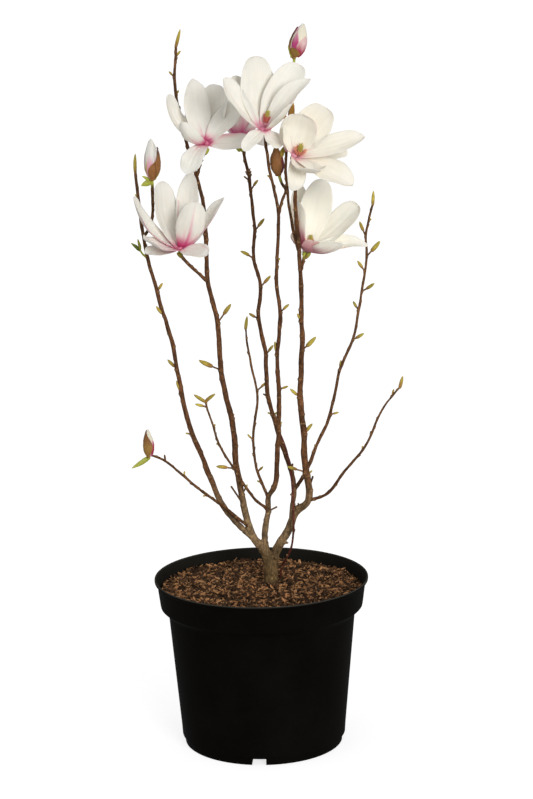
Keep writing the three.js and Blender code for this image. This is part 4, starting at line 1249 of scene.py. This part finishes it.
def spikes(pile, root, side, away, tip, tint, finish=0):
    """Fine hairs, each a slim spike of three sides."""
    points = np.stack([root + side, root - side, root + away, tip], 1).reshape(-1, 3)
    base = np.arange(len(root))[:, None] * 4
    faces = np.vstack([base + [0, 1, 3], base + [1, 2, 3], base + [2, 0, 3], base + [2, 1, 0]])
    pile.add(points, [faces], tint, finish)


FUR_COUNT = 900


def fur_on(pile, grid, out, along, tint, seed):
    """Silky hairs all over the outside of a bud scale."""
    rng = np.random.default_rng(seed + 9)
    count = FUR_COUNT
    row, column = rng.integers(0, grid.shape[0] - 1, count), rng.integers(0, grid.shape[1] - 1, count)
    root, away = grid[row, column], out[row, column]
    root = root + (grid[row + 1, column + 1] - root) * rng.uniform(0, 1, (count, 1)) + away * 0.4
    heading = along * 0.8 + away * 0.4 + rng.normal(0, 0.2, (count, 3))
    tip = root + heading * rng.uniform(0.8, 1.5, (count, 1))
    side = np.cross(away, along) * 0.05
    spikes(pile, root, side, away * 0.07, tip, np.repeat(tint[row, column] * 1.35, 4, 0), 1)


# Small leaves: [from, to, width, tint]
LEAVES = [
    ((-120, -3, 692), (-133, -8, 688), 8, LEAF_GREEN), ((-120, -3, 692), (-132, -4, 699), 4.5, STALK_GREEN),
    ((-120, -3, 693), (-111, -6, 703), 3.5, STALK_GREEN),
    ((-136, 1, 609), (-147, -2, 620), 4.5, DEEP_GREEN), ((-136, 1, 610), (-139, -2, 625), 3.5, LEAF_GREEN),
    ((-127, -84, 378), (-149, -90, 367), 6, LEAF_GREEN),
    ((-127, -84, 379), (-137, -84, 376), 3.5, STALK_GREEN),
    ((49, 13, 830), (42, 10, 846), 5, LEAF_GREEN),
]
# Leaf buds that end a twig, and the green scales left under blooms: [foot, tip, radius, tint at the foot,
# tint above]
END_BUDS = [
    ((-62, -66, 440), (-75, -68, 449), 2.2, BUD_TAN, BUD_GREEN),
    ((-62, -66, 440), (-51, -67, 451), 2.2, BUD_TAN, BUD_GREEN),
    ((45, -12, 763), (45.5, -16, 784), 3.2, BUD_BROWN, BUD_ORANGE),
    ((38, -8, 757), (37, -16, 770), 2.2, BUD_BROWN, BUD_ORANGE),
    ((31, -52, 723), (34.5, -54, 737), 2.9, BUD_TAN, BUD_GREEN),
    ((-17, 92, 716), (-23, 89, 725), 2.4, STALK_GREEN, STALK_GREEN),
    ((-16, 92, 716), (-10, 90, 724), 2.4, STALK_GREEN, STALK_GREEN),
    ((-57, -8, 724), (-52, -12, 731), 2.2, BUD_TAN, STALK_GREEN),
    ((-86, -28, 606), (-92, -32, 612), 2.6, BUD_TAN, STALK_GREEN),
    ((58, -20, 601), (65, -24, 609), 2.6, BUD_TAN, STALK_GREEN),
]


def leaf(pile, start, end, width, green, seed):
    """A young leaf, folded a little along its midrib."""
    start, end = np.array(start, float), np.array(end, float)
    along = end - start
    facing = np.array((0.1, -0.8, 0.6))
    facing = unit(facing - unit(along) * (facing @ unit(along)))
    across = unit(np.cross(facing, along))
    share, side = patch(18, 9)
    half = width / 2 * (0.16 + 0.84 * np.sin(np.pi * share**0.8)) * smooth(1.02, 0.9, share)
    fold = side**2 * half * 0.35 + 0.3 * np.sin(share * 9 + seed) * np.abs(side)
    grid = start + share[..., None] * along + (side * half)[..., None] * across + fold[..., None] * facing
    ribs = hump(side, 0.12)[..., None]
    tint = mix(np.array(green), np.array(STALK_GREEN) * 1.2, 0.6 * ribs)
    sheet(pile, grid, facing, 0.5, tint, tint * 0.9)


# Pot and mulch

def pot_profile():
    p = POT
    inside = p.wall_foot - p.wall
    return [
        (0, 0), (p.foot_radius - 1, 0), (p.foot_radius - 0.3, 0.5), (p.foot_radius, 2),
        (p.foot_radius + 0.5, 9), (p.foot_radius + 1.2, 9.7), (p.wall_foot - 1.6, 10),
        (p.wall_foot - 0.8, 10.6), (p.wall_foot - 0.6, 13), (p.wall_foot, 22),
        (p.wall_top, p.collar_z - 10), (p.wall_top + 0.6, p.collar_z - 7.5),
        (p.wall_top + 2, p.collar_z - 5), (p.collar_foot - 2, p.collar_z - 1),
        (p.collar_foot - 0.5, p.collar_z + 0.6), (p.collar_foot, p.collar_z + 3),
        (p.collar_top, p.height - 6.5), (p.collar_top + 0.4, p.height - 5.6),
        (p.lip_radius - 1, p.height - 4), (p.lip_radius - 0.2, p.height - 3.4),
        (p.lip_radius, p.height - 2.6), (p.lip_radius, p.height - 0.8),
        (p.lip_radius - 0.25, p.height - 0.2), (p.lip_radius - 0.8, p.height),
        (p.lip_radius - p.lip + 0.2, p.height - 0.1), (p.lip_radius - p.lip, p.height - 0.6),
        (p.collar_top - p.wall + 0.6, p.height - 5), (p.collar_top - p.wall, p.height - 6.5),
        (p.collar_foot - p.wall, p.collar_z + 3.5), (p.wall_top - p.wall, p.collar_z - 5),
        (inside, 22), (inside - 4, p.floor + 3), (inside - 7, p.floor), (0, p.floor),
    ]


def loose(name, points, faces):
    """An object used as a tool while a shape is made."""
    pile = Pile()
    pile.add(points, faces)
    return placed(name, pile.mesh(name))


def block(name, low, high, turn):
    """A box between two corners, turned about the pot's axis."""
    corners = np.array([[x, y, z] for x in (0, 1) for y in (0, 1) for z in (0, 1)], float)
    points = np.array(low) + corners * np.subtract(high, low)
    faces = [[(0, 1, 3, 2), (4, 6, 7, 5), (0, 4, 5, 1), (2, 3, 7, 6), (0, 2, 6, 4), (1, 5, 7, 3)]]
    cosine, sine = math.cos(turn), math.sin(turn)
    points = points @ np.array([[cosine, sine, 0], [-sine, cosine, 0], [0, 0, 1]])
    return loose(name, points, faces)


def pot_mesh():
    """The turned shell with the raised roofs of its drain channels, and the channels and holes cut out."""
    pot = loose("turned_pot", *lathe(pot_profile(), POT.sides))
    tools = []
    half, cover = DRAIN.width / 2, DRAIN.cover
    for i in range(DRAIN.count):
        turn = math.radians(360 * i / DRAIN.count + DRAIN.turn)
        roof = block(
            "roof", (DRAIN.inner - cover, -half - cover, POT.floor / 2),
            (POT.foot_radius - 1, half + cover, DRAIN.height + cover), turn,
        )
        channel = block("channel", (DRAIN.inner, -half, -2), (POT.lip_radius, half, DRAIN.height), turn)
        hole = loose("hole", *lathe([(0, 4), (DRAIN.hole, 4), (DRAIN.hole, 16), (0, 16)], 24))
        reach = DRAIN.hole_at * MM
        hole.matrix_world = Matrix.Translation((reach * math.cos(turn), reach * math.sin(turn), 0))
        tools += [(roof, "UNION"), (channel, "DIFFERENCE"), (hole, "DIFFERENCE")]
    for tool, kind in sorted(tools, key=lambda each: each[1] == "DIFFERENCE"):
        cut = pot.modifiers.new(tool.name, "BOOLEAN")
        cut.object, cut.operation, cut.solver = tool, kind, "EXACT"
    bpy.context.view_layer.update()
    mesh = bpy.data.meshes.new_from_object(pot.evaluated_get(bpy.context.evaluated_depsgraph_get()))
    for each in [pot, *(tool for tool, _ in tools)]:
        bpy.data.objects.remove(each)
    mesh.name = "pot_shell"
    return mesh


def mulch_rim():
    p = POT
    slope = (MULCH.edge - p.collar_z) / (p.height - p.collar_z)
    return mix(p.collar_foot, p.collar_top, slope) - p.wall - 1.6


def mulch_height(x, y):
    radius = np.hypot(x, y)
    share = np.clip((radius - MULCH.flat_radius) / (mulch_rim() - MULCH.flat_radius), 0, 1)
    height = mix(MULCH.centre, MULCH.edge, share**1.5)
    lumps = ripples(np.stack([x, y, 0 * x], -1), 26, 61)
    return height + MULCH.lump * 1.2 * lumps * smooth(0, 18, radius - 10) - 0.6


def mulch_bed():
    """The dark crumbly bed under the chips."""
    p = POT
    gap = p.wall + 0.6
    radii = np.linspace(mulch_rim(), 2, 60)
    profile = [
        (0, p.floor + 9), (p.wall_foot - gap - 4, p.floor + 9), (p.wall_foot - gap - 0.5, 22),
        (p.wall_top - gap, p.collar_z - 5.5), (p.collar_foot - gap, p.collar_z + 4),
        *((r, MULCH.edge) for r in radii), (0, MULCH.centre),
    ]
    points, faces = lathe(profile, 180)
    top = points[:, 2] > p.collar_z + 5
    points[top, 2] = mulch_height(points[top, 0], points[top, 1]) - 1.2 + 0.5 * ripples(points[top], 2.4, 63)
    pile = Pile()
    pile.add(points, faces)
    return pile.mesh("mulch_bed")


CHIP = Sizes(count=6800, length=(2.0, 11), width=(1.0, 3.4), off_trunk=1.0, sides=5)
# Where a chip's rings stand, as shares of its length
CHIP_STATIONS = (-0.5, -0.18, 0.2, 0.5)
# Chip colours and how often each comes: black crumb, dark, brown, red brown, tan and pale
CHIP_TINTS = [
    ((0.072, 0.034, 0.016), 0.12), ((0.178, 0.083, 0.036), 0.22), ((0.265, 0.127, 0.053), 0.30),
    ((0.380, 0.175, 0.072), 0.19), ((0.575, 0.325, 0.165), 0.11), ((0.780, 0.520, 0.320), 0.06),
]
# What a chip's red, green and blue are multiplied by where the bark has faded
FADED_BARK = (1.0, 1.16, 1.25)
# Edges over so many degrees stay sharp
POT_CREASE, CHIP_CREASE = 28, 35


def chip_size(rng, kind):
    """A chip's length, width and thickness. Chips of the paler kinds are a little longer."""
    length = np.clip(rng.lognormal(1.42 + 0.12 * (kind > 2), 0.38), *CHIP.length)
    width = np.clip(length * rng.uniform(0.24, 0.6), *CHIP.width)
    return length, width, width * rng.uniform(0.35, 0.8)


def chip_centre(rng, length):
    """A chip's place on the mulch, heaped a little at the trunk, and how far it is from the trunk."""
    reach = (mulch_rim() + 0.9 - length * 0.42) * math.sqrt(rng.uniform(0, 1))
    angle = rng.uniform(0, 2 * np.pi)
    x, y = reach * math.cos(angle), reach * math.sin(angle)
    from_trunk = math.hypot(x - TRUNK.foot[0], y - TRUNK.foot[1]) - TRUNK.radius[0]
    lift = rng.uniform(-1.0, 1.6) + 1.4 * math.exp(-max(0, from_trunk) / 6)
    return np.array([x, y, float(mulch_height(x, y)) + lift]), from_trunk


def chip_axes(rng):
    """The directions along a chip, across its flat side and up from it."""
    yaw, pitch, roll = rng.uniform(0, 2 * np.pi), rng.normal(0, 0.42), rng.normal(0, 0.5)
    along = around(pitch, np.array((math.cos(yaw), math.sin(yaw), 0)), np.array((0, 0, 1)))
    across = unit(np.cross(along, (0, 0, 1)))
    up = np.cross(across, along)
    return along, around(roll, across, up), around(roll, up, -across)


def chip_skin(rng, centre, size, axes):
    """A bent, uneven sliver that tapers to both ends: its points, and the way along its grain."""
    length, width, thick = size
    along, flat, up = axes
    stations, turn = np.array(CHIP_STATIONS), turns(CHIP.sides)
    sizes = np.array([rng.uniform(0.3, 0.8), 1, rng.uniform(0.75, 1), rng.uniform(0.15, 0.65)])
    bend = rng.normal(0, 0.1) * length * (stations**2)
    section = around(turn, flat * width, up * thick) / 2
    shape = rng.uniform(0.8, 1.18, (len(stations), CHIP.sides, 1))
    line = centre + stations[:, None] * length * along + bend[:, None] * up
    points = line[:, None] + section[None] * sizes[:, None, None] * shape
    ones = np.ones((len(stations), CHIP.sides))
    wide, deep, high = np.cos(turn) * width / 2, np.sin(turn) * thick, stations[:, None] * length
    return points, np.stack([wide * ones, deep * ones, high * ones], -1)


def chips():
    """Splinters of bark in two heaps, the dark kinds and the light ones."""
    rng = np.random.default_rng(2024)
    piles = Pile(), Pile()
    ring, last = np.arange(CHIP.sides), (len(CHIP_STATIONS) - 1) * CHIP.sides
    faces = [rings(len(CHIP_STATIONS), CHIP.sides), ring[None, ::-1], ring[None] + last]
    for kind in rng.choice(len(CHIP_TINTS), CHIP.count, p=[share for _, share in CHIP_TINTS]):
        size = chip_size(rng, kind)
        centre, from_trunk = chip_centre(rng, size[0])
        axes = chip_axes(rng)
        if from_trunk < CHIP.off_trunk:
            continue
        points, way = chip_skin(rng, centre, size, axes)
        light, finish = divmod(int(kind), len(CHIP_TINTS) // 2)
        piles[light].add(points, faces, finish=finish, way=way)
    return [pile.mesh(name) for pile, name in zip(piles, ("mulch_chips_dark", "mulch_chips_light"))]


# Making the pieces

def make_pot_and_mulch():
    outside = plastic_material("black_plastic", OUTER_BLACK, OUTER_DUST)
    # The inside plastic is lighter, as a painted sheen.
    inside = plastic_material("plastic_dust_and_painted_sheen", INNER_BLACK_PAINTED_SHEEN, INNER_DUST_PAINTED_SHEEN)
    shell = show(pot_mesh(), [outside, inside], ["pot"]).data
    # Faces turned inward above the collar take the inside plastic, with its painted sheen.
    for face in shell.polygons:
        x, y, z = face.center
        face.material_index = int(z > POT.collar_z * MM and face.normal.x * x + face.normal.y * y < 0)
    shell.polygons.foreach_set("use_smooth", np.ones(len(shell.polygons), bool))
    shell.set_sharp_from_angle(angle=math.radians(POT_CREASE))
    show(mulch_bed(), [chip_material("crumb", CRUMB_BROWN, 0.6)], ["mulch"])
    materials = [chip_material(f"chip_{i}", tint, 0.4) for i, (tint, _) in enumerate(CHIP_TINTS)]
    for heap, looks in zip(chips(), (materials[:3], materials[3:])):
        show(heap, looks, crease=CHIP_CREASE)


def make_wood():
    bark = bark_material()
    trunk = trunk_skin()
    relief(trunk)
    show(trunk, [bark], ["trunk"])
    boughs = Pile()
    for number, (name, stem) in enumerate(STEMS.items()):
        wood = shoot_wood if name == "basal_shoot" else stem_wood
        start = stem["limb"].share_at(FORKS[name] - BOUGH_OVERLAP) if name in FORKS else 0.0
        flare = -0.5 if "on" in stem else 0.0
        radius_at = partial(stem_radius, stem)
        sites = node_sites(name, stem)
        if "on" in stem:
            join(boughs, stem)
        stem_skin(boughs, stem["limb"], radius_at, sites, number * 10, wood, flare, start)
        nubs(boughs, stem["limb"], radius_at, sites[len(stem["buds"]):])
        for index, (foot, heading, radius, stalk, length) in enumerate(side_buds(name, stem)):
            reach = radius * 0.8 + stalk
            if length:
                bud_stalk(boughs, foot, heading, reach)
            else:
                cut_stub(boughs, foot, heading, reach, number * 10 + index)
    for number, (name, (through, ends)) in enumerate(SIDE_TWIGS.items()):
        limb = Limb(through)
        sites = [(walked / limb.length, walked * SPIRAL, 0.8) for walked in np.arange(5, limb.length - 5, 8)]
        radius_at = partial(mix, *ends)
        green_end = 0 if name in WOODY_TWIGS else GREEN_END
        stem_skin(boughs, limb, radius_at, sites, 300 + number, stem_wood, 0.1, green_end=green_end)
        nubs(boughs, limb, radius_at, sites[1:-1])
    replaced = [name if name == "basal_shoot" else f"bough_{name}" for name in STEMS]
    show(boughs.mesh("boughs_bark"), [bark], replaced)


def make_buds():
    pile = Pile()
    for number, (name, stem) in enumerate(STEMS.items()):
        for index, (foot, heading, radius, stalk, length) in enumerate(side_buds(name, stem)):
            if length:
                start = foot + heading * (radius * 0.8 + stalk)
                leaf_bud(pile, start, heading, length, bud_radius(length), number * 50 + index)
        if "tip" in stem:
            end = stem["limb"].at(1.0)
            reach = np.linalg.norm(stem["tip"])
            heading = unit(stem["tip"])
            leaf_bud(pile, end - heading * 1.5, heading, reach + 1.5, TIP_RADIUS, number + 900)
    for number, (start, end, radius, *tints) in enumerate(END_BUDS):
        reach = np.subtract(end, start)
        leaf_bud(pile, start, unit(reach), np.linalg.norm(reach), radius, 700 + number, tints)
    replaced = ["leader_left", "twig_centre_left", "twig_low_centre", "twig_right_outer", "twig_low_right"]
    show(pile.mesh("leaf_buds"), [velvet_material()], replaced)


def make_flower_buds():
    pile = Pile()
    for number, bud in enumerate(FURLED.values()):
        shape = bud["foot"], bud["tip"], bud["radius"] * FURLED_SIZE
        for index, spec in enumerate(bud["tepals"]):
            wrap(pile, *shape, spec, number * 20 + index, False)
        for index, spec in enumerate(bud["scales"]):
            wrap(pile, *shape, spec, number * 20 + 10 + index, True)
    replaced = ["leader_top", "twigs_left_outer", "bud_low_left", "bud_centre"]
    show(pile.mesh("flower_buds"), [tepal_material(), velvet_material()], replaced)


def make_blooms():
    petal, flesh = tepal_material(), fleshy_material()
    centres = Pile()
    for number, (name, bloom) in enumerate(BLOOMS.items()):
        pile = Pile()
        axis = unit(bloom["axis"])
        for index, spec in enumerate(bloom["tepals"]):
            mark = bloom["marks"].get(index, PLAIN_MARK)
            tepal(pile, bloom["foot"], axis, spec, bloom["pink"], bloom["tone"], mark, number * 100 + index)
        show(pile.mesh(f"tepals_{name}"), [petal], [f"bloom_{name}"])
        bloom_centre(centres, bloom["foot"], seed=number, **bloom["centre"])
        receptacle(centres, bloom["foot"], axis, bloom["pink"][1])
    show(centres.mesh("bloom_centres"), [flesh])
    leaves = Pile()
    for seed, (start, end, width, green) in enumerate(LEAVES):
        leaf(leaves, start, end, width, green, seed)
    show(leaves.mesh("young_leaves"), [flesh])


# Stage

# Soft lamps: [name, strength, spread in degrees, elevation, azimuth, 0 being in front and -90 on the left]
LAMPS = [("key", 1.82, 24, 14, 23), ("fill", 0.2, 60, 50, -50)]
SKY_STRENGTH = 0.48
# How far the floor reaches and the camera sees, in metres
FLOOR_REACH, SIGHT = 60, 200


def make_stage():
    size = FLOOR_REACH
    mesh = bpy.data.meshes.new("floor")
    corners = [(x, y, 0) for x, y in ((-size, -size), (size, -size), (size, size), (-size, size))]
    mesh.from_pydata(corners, [], [(0, 1, 2, 3)])
    mesh.materials.append(floor_material())
    floor = placed("floor", mesh)
    floor.visible_diffuse = floor.visible_glossy = floor.visible_transmission = False
    world = bpy.data.worlds.new("studio")
    world.use_nodes = True
    sky = world.node_tree.nodes["Background"].inputs
    sky["Color"].default_value = (1, 1, 1, 1)
    sky["Strength"].default_value = SKY_STRENGTH
    bpy.context.scene.world = world
    for name, strength, angle, elevation, azimuth in LAMPS:
        lamp = bpy.data.lights.new(name, "SUN")
        lamp.energy, lamp.angle = strength, math.radians(angle)
        placed(name, lamp).rotation_euler = (math.radians(90 - elevation), 0, math.radians(azimuth))


def make_camera():
    data = bpy.data.cameras.new("camera")
    data.sensor_width = SENSOR
    data.lens = CAMERA.focal_pixels / max(PHOTO) * SENSOR
    data.clip_end = SIGHT
    camera = placed("camera", data)
    pitch = Matrix.Rotation(math.pi / 2 - CAMERA.pitch, 4, "X")
    roll = Matrix.Rotation(CAMERA.roll, 4, "Z")
    camera.matrix_world = Matrix.Translation(CAMERA.place) @ pitch @ roll
    bpy.context.scene.camera = camera
    bpy.context.scene.view_settings.view_transform = "Standard"


make_camera()
make_stage()
make_pot_and_mulch()
make_wood()
make_buds()
make_flower_buds()
make_blooms()
